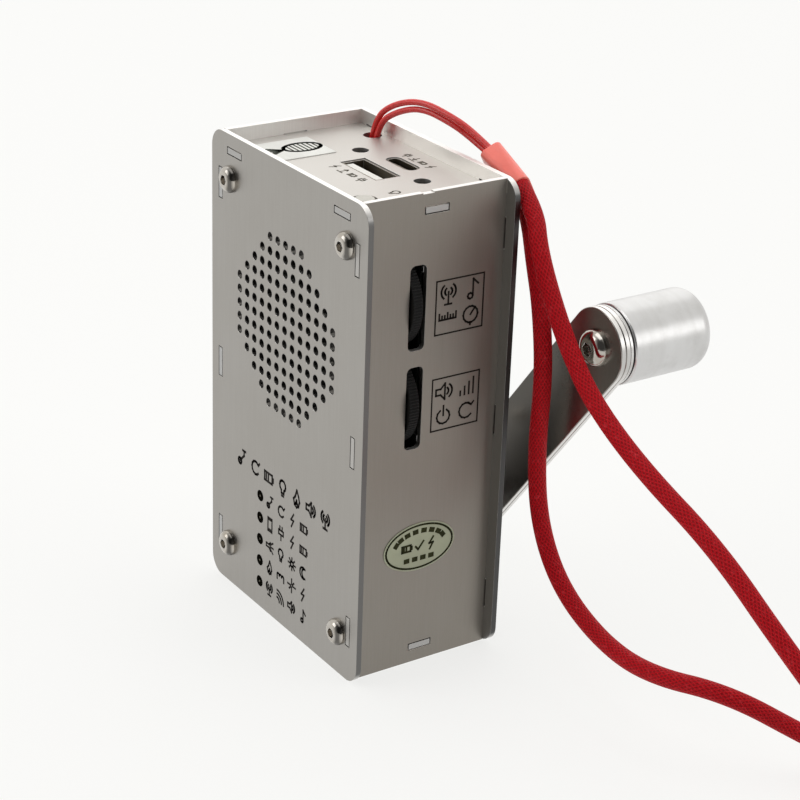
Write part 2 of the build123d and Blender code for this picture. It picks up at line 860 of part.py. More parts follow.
with BuildPart() as generator_cap:
    with BuildSketch(facing_front(generator_cap_back)):
        with Locations((generator_x, generator_z)):
            Circle(generator_radius)
    slab(generator_front, generator_cap_back)
    with BuildSketch(facing_front(generator_cap_back)):
        with Locations((generator_x, generator_z)):
            Circle(generator_shaft_radius + running_gap)
    extrude(amount=generator_cap_thickness - generator_wall, mode=Mode.SUBTRACT)
finish_part(generator_cap.part, "generator_cap")

magnet_outer = generator_inner_radius - thread_gap
magnet_inner = magnet_outer - magnet_thickness

magnet_gap_rise = 2 * magnet_outer  # the wedges between the magnets reach past the can
magnet_gap_run = magnet_gap_rise * tan(radians(90 - magnet_span / 2))

with BuildSketch() as magnet_face:
    Circle(magnet_outer)
    Circle(magnet_inner, mode=Mode.SUBTRACT)
    for side in (-1, 1):
        with BuildLine():
            Polyline(
                (0, 0),
                (magnet_gap_run, side * magnet_gap_rise),
                (-magnet_gap_run, side * magnet_gap_rise),
                close=True,
            )
        make_face(mode=Mode.SUBTRACT)

with BuildPart() as field_magnets:
    with BuildSketch(facing_front(generator_cap_back + end_gap + magnet_length)):
        with Locations((generator_x, generator_z)):
            add(magnet_face.sketch)
    extrude(amount=magnet_length)
finish_part(field_magnets.part, "field_magnets")

armature_y = generator_cap_back + commutator_length + end_gap
armature_end = armature_y + armature_length

with BuildPart() as armature:
    with BuildSketch(facing_front(armature_end)):
        with Locations((generator_x, generator_z)):
            Circle(armature_radius)
            with PolarLocations(armature_radius, armature_slots):
                Rectangle(2 * armature_slot_depth, armature_slot_width, mode=Mode.SUBTRACT)
    slab(armature_y, armature_end)
    with BuildSketch(facing_front(armature_y)):
        with Locations((generator_x, generator_z)):
            Circle(commutator_radius)
    extrude(amount=commutator_length)
    with BuildSketch(facing_front(armature_end)):
        with Locations((generator_x, generator_z)):
            Circle(generator_shaft_radius)
    extrude(amount=generator_length, mode=Mode.SUBTRACT)
finish_part(armature.part, "armature")

with BuildPart() as generator_shaft:
    with BuildSketch(facing_front(drive_y - end_gap)):
        with Locations((generator_x, generator_z)):
            Circle(generator_shaft_radius)
    slab(generator_front + generator_wall + thread_gap, drive_y - end_gap)
finish_part(generator_shaft.part, "generator_shaft")

with BuildPart() as generator_pinion:
    with BuildSketch(facing_front(idler_wheel_y + idler_wheel_face)):
        with Locations((generator_x, generator_z)):
            add(generator_pinion_profile)
            Circle(generator_shaft_radius, mode=Mode.SUBTRACT)
    slab(idler_wheel_y - end_gap, idler_wheel_y + idler_wheel_face)
finish_part(generator_pinion.part, "generator_pinion")

# ================================================================ crank
with BuildPart() as crank_hub:
    with BuildSketch(facing_front(arm_y)):
        with Locations((crank_x, crank_z)):
            Circle(hub_radius)
    slab(rear_y + end_gap, arm_y)
    with BuildSketch(facing_front(arm_back - key_gap)):
        with Locations(Location((crank_x, crank_z), arm_angle)):
            Rectangle(key_size, key_size)
    slab(arm_y, arm_back - key_gap)
    with BuildSketch(facing_front(arm_y - end_gap)):
        with Locations((crank_x, crank_z)):
            add(shaft_bore)
    extrude(amount=box_depth, mode=Mode.SUBTRACT)
    with BuildSketch(facing_front(arm_back)):
        with Locations((crank_x, crank_z)):
            Circle(hub_screw_radius + thread_gap)
    extrude(amount=hub_screw_length, mode=Mode.SUBTRACT)
finish_part(crank_hub.part, "crank_hub")


def arm_profile():
    """Round ended arm with a square hole for the hub's key and a hole for the handle screw."""
    with Locations(Location((crank_x, crank_z), arm_angle)):
        with Locations((arm_length / 2, 0)):
            SlotCenterToCenter(arm_length, 2 * arm_radius)
        Rectangle(key_size + 2 * key_gap, key_size + 2 * key_gap, mode=Mode.SUBTRACT)
        with Locations((arm_length, 0)):
            Circle(handle_screw_radius + key_gap, mode=Mode.SUBTRACT)


with BuildPart() as front_arm:
    with BuildSketch(facing_front(arm_y + arm_sheet)):
        arm_profile()
    slab(arm_y, arm_y + arm_sheet)
    chamfer(front_arm.edges().group_by(SortBy.LENGTH)[-1], arm_edge_break)
finish_part(front_arm.part, "front_arm")

with BuildPart() as rear_arm:
    with BuildSketch(facing_front(arm_back)):
        arm_profile()
    slab(arm_y + arm_sheet, arm_back)
    chamfer(rear_arm.edges().group_by(SortBy.LENGTH)[-1], arm_edge_break)
finish_part(rear_arm.part, "rear_arm")

hub_bolt = socket_screw(
    case_head_radius, case_head_height, hub_screw_radius, hub_screw_length, case_socket
)
handle_bolt = socket_screw(
    handle_head_radius, handle_head_height, handle_screw_radius, handle_screw_length, handle_socket
)
hub_seat_y = arm_back + hub_washer_thickness

with BuildPart() as hub_screw:
    with Locations(Location((crank_x, hub_seat_y, crank_z), head_to_rear)):
        add(hub_bolt)
finish_part(hub_screw.part, "hub_screw")

with BuildPart() as hub_washer:
    with BuildSketch(facing_front(hub_seat_y)):
        with Locations((crank_x, crank_z)):
            Circle(hub_washer_radius)
            Circle(hub_screw_radius + key_gap, mode=Mode.SUBTRACT)
    slab(arm_back, hub_seat_y)
finish_part(hub_washer.part, "hub_washer")

with BuildPart() as handle_screw:
    with Locations(Location((handle_x, arm_y, handle_z), head_to_front)):
        add(handle_bolt)
finish_part(handle_screw.part, "handle_screw")

with BuildPart() as grip_washer:
    with BuildSketch(facing_front(axle_base_y)):
        with Locations((handle_x, handle_z)):
            Circle(arm_radius)
            Circle(handle_screw_radius + key_gap, mode=Mode.SUBTRACT)
    slab(arm_back, axle_base_y)
finish_part(grip_washer.part, "grip_washer")

with BuildPart() as handle_axle:
    with BuildSketch(facing_front(axle_seat_y)):
        with Locations((handle_x, handle_z)):
            Circle(axle_radius)
    slab(axle_base_y, axle_seat_y)
    with BuildSketch(facing_front(axle_seat_y + axle_head_height)):
        with Locations((handle_x, handle_z)):
            Circle(axle_head_radius)
    slab(axle_seat_y, axle_seat_y + axle_head_height)
    with BuildSketch(facing_front(axle_base_y)):
        with Locations((handle_x, handle_z)):
            Circle(handle_screw_radius + thread_gap)
    extrude(amount=-handle_screw_length, mode=Mode.SUBTRACT)
finish_part(handle_axle.part, "handle_axle")

with BuildPart() as handle_grip:
    with BuildSketch(facing_front(grip_end)):
        with Locations((handle_x, handle_z)):
            Circle(grip_radius)
    slab(grip_y, grip_end)
    far_radius = min(grip_end_radius, grip_radius - grip_cap_radius - grip_end_flat)
    fillet(handle_grip.faces().sort_by(Axis.Y)[-1].edges(), far_radius)
    fillet(handle_grip.faces().sort_by(Axis.Y)[0].edges(), grip_near_edge)
    with BuildSketch(facing_front(grip_end)):
        with Locations((handle_x, handle_z)):
            Circle(axle_radius + running_gap)
    extrude(amount=grip_length, mode=Mode.SUBTRACT)
    with BuildSketch(facing_front(grip_end)):
        with Locations((handle_x, handle_z)):
            Circle(axle_head_radius + axle_head_gap)
    extrude(amount=grip_end - axle_seat_y + axle_shoulder_gap, mode=Mode.SUBTRACT)
    with BuildSketch(facing_front(grip_end)):
        with Locations((handle_x, handle_z)):
            Circle(grip_cap_radius + grip_cap_gap)
    extrude(amount=grip_cap_thickness, mode=Mode.SUBTRACT)
finish_part(handle_grip.part, "handle_grip")

with BuildPart() as grip_cap:
    with BuildSketch(facing_front(grip_end)):
        with Locations((handle_x, handle_z)):
            Circle(grip_cap_radius)
    slab(grip_end - grip_cap_thickness, grip_end)
finish_part(grip_cap.part, "grip_cap")

# ================================================================ speaker
speaker_rim_y = inner_front_y + speaker_rim_thickness
speaker_neck_y = inner_front_y + speaker_frame_depth
speaker_axis = Axis((0, inner_front_y, grille_z), (0, 1, 0))
speaker_plane = Plane((0, inner_front_y, grille_z), x_dir=(1, 0, 0), z_dir=(0, 0, 1))
rim_inside = speaker_radius - speaker_rim_width
frame_floor = speaker_frame_depth - speaker_frame_thickness

with BuildPart() as speaker_frame:
    with BuildSketch(speaker_plane):
        with BuildLine():
            Polyline(
                (rim_inside, 0),
                (speaker_radius, 0),
                (speaker_radius, speaker_rim_thickness),
                (rim_inside + speaker_frame_thickness, speaker_rim_thickness),
                (speaker_neck_radius, speaker_frame_depth),
                (0, speaker_frame_depth),
                (0, frame_floor),
                (speaker_neck_radius - speaker_frame_thickness, frame_floor),
                (rim_inside, speaker_rim_thickness - speaker_frame_thickness / 2),
                close=True,
            )
        make_face()
    revolve(axis=speaker_axis)
finish_part(speaker_frame.part, "speaker_frame")

cone_drop = frame_floor - speaker_cone_gap
cone_rim = rim_inside - speaker_cone_gap
cone_neck = speaker_cap_radius + speaker_cone_thickness

with BuildPart() as speaker_cone:
    with BuildSketch(speaker_plane):
        with BuildLine():
            Polyline(
                (cone_rim, speaker_rim_thickness / 2),
                (cone_rim - speaker_cone_thickness, speaker_rim_thickness / 2),
                (cone_neck, cone_drop - speaker_cone_thickness),
                (speaker_cap_radius / 2, cone_drop - speaker_cone_thickness - speaker_cap_rise / 2),
                (0, cone_drop - speaker_cone_thickness - speaker_cap_rise),
                (0, cone_drop),
                (cone_neck + speaker_cone_thickness, cone_drop),
                close=True,
            )
        make_face()
    revolve(axis=speaker_axis)
finish_part(speaker_cone.part, "speaker_cone")

with BuildPart() as speaker_magnet:
    with BuildSketch(facing_front(speaker_neck_y + speaker_magnet_depth)):
        with Locations((0, grille_z)):
            Circle(speaker_magnet_radius)
    slab(speaker_neck_y, speaker_neck_y + speaker_magnet_depth)
    chamfer(speaker_magnet.edges(), speaker_magnet_chamfer)
finish_part(speaker_magnet.part, "speaker_magnet")

clamp_middle = speaker_radius + running_gap + speaker_clamp_length / 2

with BuildPart() as speaker_clamps:
    for angle in speaker_clamp_angles:
        place = Location((0, grille_z), angle)
        with BuildSketch(facing_front(speaker_rim_y)):
            with Locations(place):
                with Locations((clamp_middle, 0)):
                    Rectangle(speaker_clamp_length, speaker_clamp_width)
        slab(inner_front_y, speaker_rim_y)
        with BuildSketch(facing_front(speaker_rim_y + speaker_clamp_thickness)):
            with Locations(place):
                with Locations((clamp_middle - speaker_clamp_grip / 2, 0)):
                    Rectangle(speaker_clamp_length + speaker_clamp_grip, speaker_clamp_width)
        slab(speaker_rim_y, speaker_rim_y + speaker_clamp_thickness)
finish_part(speaker_clamps.part, "speaker_clamps")

# ================================================================ battery
with BuildPart() as battery_cell:
    with BuildSketch(facing_front(inner_front_y + battery_thickness)):
        with Locations((0, inner_bottom_z + battery_lift + battery_height / 2)):
            RectangleRounded(battery_width, battery_height, battery_edge_radius)
    slab(inner_front_y, inner_front_y + battery_thickness)
    fillet(battery_cell.faces().sort_by(Axis.Y)[-1].edges(), battery_rounding)
finish_part(battery_cell.part, "battery_cell")

# ================================================================ charger board, ports and lamps
charger_middle = (charger_board_x, charger_board_top - charger_board_height / 2)

with BuildPart() as charger_board:
    with BuildSketch(facing_front(charger_board_back)):
        with Locations(charger_middle):
            Rectangle(charger_board_width, charger_board_height)
    slab(charger_board_y, charger_board_back)
finish_part(charger_board.part, "charger_board")

with BuildPart() as usb_a_shell:
    with BuildSketch(Plane.XY.offset(port_z - usb_a_length)):
        with Locations((usb_a_x, usb_a_y)):
            Rectangle(usb_a_width, usb_a_height)
    extrude(amount=usb_a_length)
    with BuildSketch(Plane.XY.offset(port_z - usb_a_length + usb_a_back)):
        with Locations((usb_a_x, usb_a_y)):
            Rectangle(usb_a_width - 2 * usb_a_wall, usb_a_height - 2 * usb_a_wall)
    extrude(amount=usb_a_length, mode=Mode.SUBTRACT)
    with BuildSketch(Plane.XY.offset(port_z - usb_a_length)):
        with Locations((usb_a_x, charger_board_y - usb_a_standoff / 2)):
            Rectangle(usb_a_width - 2 * usb_a_wall, usb_a_standoff)
    extrude(amount=min(usb_a_length, charger_board_top - port_z + usb_a_length))
finish_part(usb_a_shell.part, "usb_a_shell")

tongue_base = port_z - usb_a_length + usb_a_back
tongue_y = usb_a_y - usb_a_height / 2 + usb_a_wall + thread_gap + usb_a_tongue_thickness / 2

with BuildPart() as usb_a_tongue:
    with BuildSketch(Plane.XY.offset(tongue_base)):
        with Locations((usb_a_x, tongue_y)):
            Rectangle(usb_a_tongue_width, usb_a_tongue_thickness)
    extrude(amount=port_z - usb_a_tongue_recess - tongue_base)
finish_part(usb_a_tongue.part, "usb_a_tongue")

with BuildPart() as usb_c_port:
    with BuildSketch(Plane.XY.offset(port_z - usb_c_length)):
        with Locations((usb_c_x, usb_c_y)):
            RectangleRounded(usb_c_width, usb_c_height, usb_c_corner)
    extrude(amount=usb_c_length)
    with BuildSketch(Plane.XY.offset(port_z - usb_c_length + usb_c_back)):
        with Locations((usb_c_x, usb_c_y)):
            RectangleRounded(
                usb_c_width - 2 * usb_c_wall,
                usb_c_height - 2 * usb_c_wall,
                usb_c_corner - usb_c_wall,
            )
    extrude(amount=usb_c_length, mode=Mode.SUBTRACT)
    with BuildSketch(Plane.XY.offset(port_z - usb_c_length + usb_c_back)):
        with Locations((usb_c_x, usb_c_y)):
            Rectangle(usb_c_tongue_width, usb_c_tongue_thickness)
    extrude(amount=usb_c_length - usb_c_back - usb_c_tongue_recess)
    with BuildSketch(Plane.XY.offset(port_z - usb_c_length)):
        with Locations((usb_c_x, charger_board_back + usb_c_height / 4)):
            Rectangle(usb_c_width - usb_c_height, usb_c_height / 2)
    extrude(amount=usb_c_back)
finish_part(usb_c_port.part, "usb_c_port")

with BuildPart() as charger_parts:
    with BuildSketch(facing_front(charger_board_back + inductor_height)):
        with Locations(charger_middle):
            with Locations(*inductor_places):
                RectangleRounded(inductor_size, inductor_size, inductor_corner)
    slab(charger_board_back, charger_board_back + inductor_height)
    with BuildSketch(facing_front(charger_board_back + capacitor_length)):
        with Locations(charger_middle):
            with Locations(*capacitor_places):
                Circle(capacitor_radius)
    slab(charger_board_back, charger_board_back + capacitor_length)
    with BuildSketch(facing_front(charger_board_back + chip_height)):
        with Locations(charger_middle):
            with Locations(*chip_places):
                Rectangle(chip_size, chip_size)
    slab(charger_board_back, charger_board_back + chip_height)
finish_part(charger_parts.part, "charger_parts")

with BuildPart() as lamp_leds:
    for x in (lamp_left_x, lamp_right_x):
        straight = lamp_body_length - lamp_radius
        with BuildSketch(Plane((x, lamp_y, lamp_base_z), x_dir=(1, 0, 0), z_dir=(0, -1, 0))):
            with BuildLine():
                Polyline(
                    (0, straight + lamp_radius),
                    (0, 0),
                    (lamp_flange_radius, 0),
                    (lamp_flange_radius, lamp_flange_height),
                    (lamp_radius, lamp_flange_height),
                    (lamp_radius, straight),
                )
                CenterArc((0, straight), lamp_radius, 0, 90)
            make_face()
        revolve(axis=Axis((x, lamp_y, lamp_base_z), (0, 0, 1)))
        lead_z = charger_board_top - lamp_lead_overlap
        with BuildSketch(Plane.XY.offset(lead_z)):
            with Locations((x, lamp_y)):
                with GridLocations(0, charger_board_thickness + lamp_lead, 1, 2):
                    Rectangle(lamp_lead, lamp_lead)
        extrude(amount=lamp_base_z - lead_z)
finish_part(lamp_leds.part, "lamp_leds")

# ================================================================ radio board and thumbwheels
with BuildPart() as radio_board:
    with BuildSketch(facing_front(control_y)):
        with Locations((radio_board_x, radio_board_z)):
            Rectangle(radio_board_width, radio_board_height)
        with Locations((wheel_x, tuning_z), (wheel_x, volume_z)):
            Circle(spindle_radius + end_gap, mode=Mode.SUBTRACT)
    slab(radio_board_y, control_y)
finish_part(radio_board.part, "radio_board")


for name, z in (("tuning_capacitor", tuning_z), ("volume_control", volume_z)):
    with BuildPart() as control:
        with BuildSketch(facing_front(control_y + control_depth)):
            with Locations((wheel_x, z)):
                Rectangle(control_size, control_size)
        slab(control_y, control_y + control_depth)
        with BuildSketch(facing_front(control_y)):
            with Locations((wheel_x, z)):
                Circle(spindle_radius + running_gap)
        extrude(amount=-(spindle_reach + end_gap), mode=Mode.SUBTRACT)
    finish_part(control.part, name)

for name, z in (("tuning_wheel", tuning_z), ("volume_wheel", volume_z)):
    with BuildPart() as thumbwheel:
        with BuildSketch(facing_front(wheel_back)):
            with Locations((wheel_x, z)):
                Circle(wheel_radius)
                with PolarLocations(wheel_radius, wheel_grooves):
                    Circle(wheel_groove_radius, mode=Mode.SUBTRACT)
        extrude(amount=wheel_thickness)
        with BuildSketch(facing_front(control_y + spindle_reach)):
            with Locations((wheel_x, z)):
                Circle(spindle_radius)
        slab(wheel_back, control_y + spindle_reach)
    finish_part(thumbwheel.part, name)

charger_bracket_reach = usb_c_width / 2 + bracket_port_gap + bracket_leg / 2

with BuildPart() as board_brackets:
    for z in (radio_board_z - bracket_spread / 2, radio_board_z + bracket_spread / 2):
        with BuildSketch(Plane.XY.offset(z - bracket_height / 2)):
            with BuildLine():
                Polyline(
                    (inner_side_x, radio_board_y),
                    (inner_side_x, control_y + bracket_leg),
                    (inner_side_x - bracket_thickness, control_y + bracket_leg),
                    (inner_side_x - bracket_thickness, control_y + bracket_thickness),
                    (inner_side_x - bracket_leg, control_y + bracket_thickness),
                    (inner_side_x - bracket_leg, control_y),
                    (inner_side_x - bracket_thickness, control_y),
                    (inner_side_x - bracket_thickness, radio_board_y),
                    close=True,
                )
            make_face()
        extrude(amount=bracket_height)
    for x in (usb_c_x - charger_bracket_reach, usb_c_x + charger_bracket_reach):
        with BuildSketch(Plane.YZ.offset(x - bracket_leg / 2)):
            with BuildLine():
                Polyline(
                    (charger_board_back, charger_board_top - bracket_leg),
                    (charger_board_back + bracket_thickness, charger_board_top - bracket_leg),
                    (charger_board_back + bracket_thickness, inner_top_z - bracket_thickness),
                    (charger_board_back + bracket_leg, inner_top_z - bracket_thickness),
                    (charger_board_back + bracket_leg, inner_top_z),
                    (charger_board_back, inner_top_z),
                    close=True,
                )
            make_face()
        extrude(amount=bracket_leg)
finish_part(board_brackets.part, "board_brackets")

# ================================================================ lamp button
skirt_top = inner_top_z - thread_gap
switch_top = skirt_top - button_skirt_height - button_travel - thread_gap
button_board_top = switch_top - switch_height

with BuildPart() as lamp_button:
    with BuildSketch(Plane.XY.offset(skirt_top)):
        with Locations((button_x, button_y)):
            Circle(button_radius)
    extrude(amount=top_z + button_proud - skirt_top)
    fillet(lamp_button.faces().sort_by(Axis.Z)[-1].edges(), button_proud)
    with BuildSketch(Plane.XY.offset(skirt_top - button_skirt_height)):
        with Locations((button_x, button_y)):
            Circle(button_skirt_radius)
    extrude(amount=button_skirt_height)
finish_part(lamp_button.part, "lamp_button")

with BuildPart() as button_switch:
    with BuildSketch(Plane.XY.offset(button_board_top)):
        with Locations((button_x, button_y)):
            Rectangle(switch_size, switch_size)
    extrude(amount=switch_height)
    with BuildSketch(Plane.XY.offset(button_board_top - button_board_thickness)):
        with Locations((button_x + button_board_shift, button_y)):
            Rectangle(button_board_width, button_board_depth)
    extrude(amount=button_board_thickness)
    hanger_x = button_x + button_board_shift - button_board_width / 2
    with BuildSketch(Plane.XY.offset(button_board_top - button_board_thickness)):
        with Locations((hanger_x - hanger_thickness / 2, button_y)):
            Rectangle(hanger_thickness, hanger_width)
    extrude(amount=inner_top_z - button_board_top + button_board_thickness)
finish_part(button_switch.part, "button_switch")

# ================================================================ aerial
with BuildPart() as ferrite_antenna:
    with BuildSketch(Plane.YZ.offset(ferrite_x - ferrite_length / 2)):
        with Locations((ferrite_y, ferrite_z)):
            Circle(ferrite_radius)
    extrude(amount=ferrite_length)
    with BuildSketch(Plane.YZ.offset(ferrite_x - coil_length / 2)):
        with Locations((ferrite_y, ferrite_z)):
            Circle(coil_radius)
    extrude(amount=coil_length)
finish_part(ferrite_antenna.part, "ferrite_antenna")

with BuildPart() as antenna_clips:
    for side in (-1, 1):
        clip_x = ferrite_x + side * (ferrite_length / 2 - clip_inset)
        with BuildSketch(Plane.YZ.offset(clip_x - clip_width / 2)):
            with Locations((ferrite_y, ferrite_z)):
                Circle(ferrite_radius + clip_fit + clip_wall)
            with Locations(((ferrite_y + inner_rear_y) / 2, ferrite_z)):
                Rectangle(inner_rear_y - ferrite_y, 2 * ferrite_radius)
            with Locations((ferrite_y, ferrite_z)):
                Circle(ferrite_radius + clip_fit, mode=Mode.SUBTRACT)
                with Locations((-ferrite_radius, 0)):
                    Rectangle(2 * ferrite_radius, ferrite_radius, mode=Mode.SUBTRACT)
            with Locations((inner_rear_y + box_depth / 2, ferrite_z)):
                Rectangle(box_depth, box_depth, mode=Mode.SUBTRACT)
        extrude(amount=clip_width)
finish_part(antenna_clips.part, "antenna_clips")

# ================================================================ labels
with BuildPart() as oval_sticker:
    with BuildSketch(Plane.YZ.offset(side_x)):
        with Locations((sticker_y, sticker_z)):
            Ellipse(sticker_length / 2, sticker_width / 2)
    extrude(amount=label_thickness)
finish_part(oval_sticker.part, "oval_sticker")

with BuildPart() as top_label:
    with BuildSketch(Plane.XY.offset(top_z)):
        with Locations((top_label_x, top_label_y)):
            Rectangle(top_label_width, top_label_depth)
    extrude(amount=label_thickness)
finish_part(top_label.part, "top_label")


# ================================================================ strap and wrist loop
def hung(points):
    """The strap's points carried along by the top wall, less and less towards the floor."""
    rise = top_z - strap_wall_z
    return [(x, y, z + rise * min(1, z / strap_bend_z)) for x, y, z in points]


def corner_radii(points):
    """Radius of the arc at each corner, as large as its shorter run allows."""
    radii = []
    for before, corner, after in zip(points, points[1:], points[2:]):
        run_in = Vector(*corner) - Vector(*before)
        run_out = Vector(*after) - Vector(*corner)
        turn = radians(run_in.get_angle(run_out))
        radii.append(corner_share * min(run_in.length, run_out.length) / tan(turn / 2))
    return radii


def cord_tube(points, radius):
    """Round cord along straight runs joined by tangent arcs, and the length of its route."""
    with BuildPart() as tube:
        with BuildLine() as route:
            FilletPolyline(*points, radius=corner_radii(points))
        path = route.wires()[0]
        with BuildSketch(Plane(origin=path @ 0, z_dir=path % 0)):
            Circle(radius)
        sweep(path=path)
    return tube.part, path.length


def report_cord(name, points, radius, solid, length):
    radii = [round(r, 1) for r in corner_radii(points)]
    section = pi * radius**2
    print(f"{name}: length {length:.1f}, arcs {radii}")
    print(f"  volume {solid.volume:.1f} for {section * length:.1f}")


outer_strand_route = hung(outer_strand_points)
inner_strand_route = hung(inner_strand_points)
outer_strand, outer_length = cord_tube(outer_strand_route, strand_radius)
inner_strand, inner_length = cord_tube(inner_strand_route, strand_radius)
report_cord("outer strand", outer_strand_route, strand_radius, outer_strand, outer_length)
report_cord("inner strand", inner_strand_route, strand_radius, inner_strand, inner_length)
knot_top = inner_top_z - knot_gap

with BuildPart() as strap_cord:
    with BuildSketch(Plane.XY.offset(knot_top - knot_height)):
        with Locations((strap_hole_x, strap_hole_y)):
            Circle(knot_radius)
    extrude(amount=knot_height)
    fillet(strap_cord.edges(), knot_rounding)
    add(outer_strand)
    add(inner_strand)
finish_part(strap_cord.part, "strap_cord")

sleeve_top, sleeve_bottom = hung([sleeve_top_point, sleeve_bottom_point])
sleeve_axis = Vector(*sleeve_bottom) - Vector(*sleeve_top)
sleeve_across = Vector(*strand_offset) - sleeve_axis * (
    Vector(*strand_offset).dot(sleeve_axis) / sleeve_axis.dot(sleeve_axis)
)

with BuildPart() as strap_sleeve:
    with BuildSketch(Plane(sleeve_top, x_dir=sleeve_across, z_dir=sleeve_axis)):
        RectangleRounded(*sleeve_top_size, sleeve_top_corner)
    with BuildSketch(Plane(sleeve_bottom, x_dir=sleeve_across, z_dir=sleeve_axis)):
        RectangleRounded(*sleeve_bottom_size, sleeve_bottom_corner)
    loft(ruled=True)
finish_part(strap_sleeve.part, "strap_sleeve")

wrist_loop_route = hung(wrist_loop_points)
loop_tube, loop_length = cord_tube(wrist_loop_route, cord_radius)
report_cord("wrist loop", wrist_loop_route, cord_radius, loop_tube, loop_length)

with BuildPart() as wrist_loop:
    add(loop_tube)
finish_part(wrist_loop.part, "wrist_loop")
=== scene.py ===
"""Looks of the pocket hand crank generator: sheet metal case, crank, sockets, labels and strap."""

import bpy
import bmesh
import math
from mathutils import Matrix, Vector


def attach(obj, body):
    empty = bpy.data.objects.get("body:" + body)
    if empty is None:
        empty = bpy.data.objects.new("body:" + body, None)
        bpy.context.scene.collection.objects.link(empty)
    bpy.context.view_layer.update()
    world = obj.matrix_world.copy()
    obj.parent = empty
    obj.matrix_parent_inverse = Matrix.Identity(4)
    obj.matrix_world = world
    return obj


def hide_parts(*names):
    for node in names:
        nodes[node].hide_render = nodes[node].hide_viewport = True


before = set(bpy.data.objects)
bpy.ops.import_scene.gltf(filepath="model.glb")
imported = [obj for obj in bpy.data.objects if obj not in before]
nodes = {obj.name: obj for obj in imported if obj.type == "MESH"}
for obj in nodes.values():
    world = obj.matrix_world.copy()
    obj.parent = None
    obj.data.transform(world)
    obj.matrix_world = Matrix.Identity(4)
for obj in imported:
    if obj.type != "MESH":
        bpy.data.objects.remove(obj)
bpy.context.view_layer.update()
MM = 0.001

# Planes of the case that carry marks or looks of their own, in millimetres.
front_face_y = -17.5
right_wall_x = 27.0
top_wall_z = 100.0
label_thickness = 0.15


# ---------------------------------------------------------------- finishes
class Finish:
    """A material with its nodes, its shader and the place of each point on the object."""

    def __init__(self, name, metallic=0.0):
        self.material = bpy.data.materials.new(name)
        self.material.use_nodes = True
        tree = self.material.node_tree
        self.nodes = tree.nodes
        self.links = tree.links
        self.shader = tree.nodes["Principled BSDF"]
        self.shader.inputs["Metallic"].default_value = metallic
        coordinates = self.add("ShaderNodeTexCoord")
        self.place = coordinates.outputs["Object"]
        self.unwrapped = coordinates.outputs["UV"]
        self.facing = coordinates.outputs["Normal"]

    def add(self, kind, **settings):
        node = self.nodes.new(kind)
        for key, value in settings.items():
            setattr(node, key, value)
        return node

    def feed(self, socket, value):
        """Link an output to a socket, or set the socket to a constant."""
        if isinstance(value, bpy.types.NodeSocket):
            self.links.new(value, socket)
        else:
            socket.default_value = value

    def stretch(self, scale, source=None):
        mapping = self.add("ShaderNodeMapping")
        self.links.new(source or self.place, mapping.inputs["Vector"])
        mapping.inputs["Scale"].default_value = scale
        return mapping.outputs["Vector"]

    def noise(self, scale, detail=3.0, rough=0.55, vector=None):
        node = self.add("ShaderNodeTexNoise")
        self.links.new(vector or self.place, node.inputs["Vector"])
        node.inputs["Scale"].default_value = scale
        node.inputs["Detail"].default_value = detail
        node.inputs["Roughness"].default_value = rough
        return node.outputs["Fac"]

    def span(self, value, low, high, start=0.0, end=1.0):
        """Carry a value from start..end over to low..high."""
        node = self.add("ShaderNodeMapRange")
        self.feed(node.inputs["Value"], value)
        node.inputs["From Min"].default_value = start
        node.inputs["From Max"].default_value = end
        node.inputs["To Min"].default_value = low
        node.inputs["To Max"].default_value = high
        return node.outputs["Result"]

    def sum(self, operation, first, second):
        node = self.add("ShaderNodeMath", operation=operation)
        self.feed(node.inputs[0], first)
        self.feed(node.inputs[1], second)
        return node.outputs["Value"]

    def blend(self, factor, first, second):
        node = self.add("ShaderNodeMix", data_type="RGBA")
        self.feed(node.inputs["Factor"], factor)
        self.feed(node.inputs["A"], first)
        self.feed(node.inputs["B"], second)
        return node.outputs["Result"]

    def softened_edges(self, radius):
        """Normal with softened edges, and how far each point lies on such an edge; the metal
        finishes paint a highlight on that edge and the plastics lay dust on it.
        """
        soft = self.add("ShaderNodeBevel", samples=6)
        soft.inputs["Radius"].default_value = radius
        flat = self.add("ShaderNodeNewGeometry")
        turn = self.add("ShaderNodeVectorMath", operation="DOT_PRODUCT")
        self.links.new(soft.outputs["Normal"], turn.inputs[0])
        self.links.new(flat.outputs["Normal"], turn.inputs[1])
        return soft.outputs["Normal"], self.span(turn.outputs["Value"], 1.0, 0.0, 0.72, 0.995)

    def relief(self, height, distance, strength=1.0, normal=None):
        node = self.add("ShaderNodeBump")
        self.feed(node.inputs["Height"], height)
        node.inputs["Distance"].default_value = distance
        node.inputs["Strength"].default_value = strength
        if normal is not None:
            self.links.new(normal, node.inputs["Normal"])
        self.links.new(node.outputs["Normal"], self.shader.inputs["Normal"])

    def colour(self, value):
        self.feed(self.shader.inputs["Base Color"], value)

    def rough(self, value):
        self.feed(self.shader.inputs["Roughness"], value)


def grey(level, warmth=0.0):
    """A grey that turns towards red and away from blue as warmth grows."""
    return (level * (1 + warmth), level, level * (1 - 1.4 * warmth), 1.0)


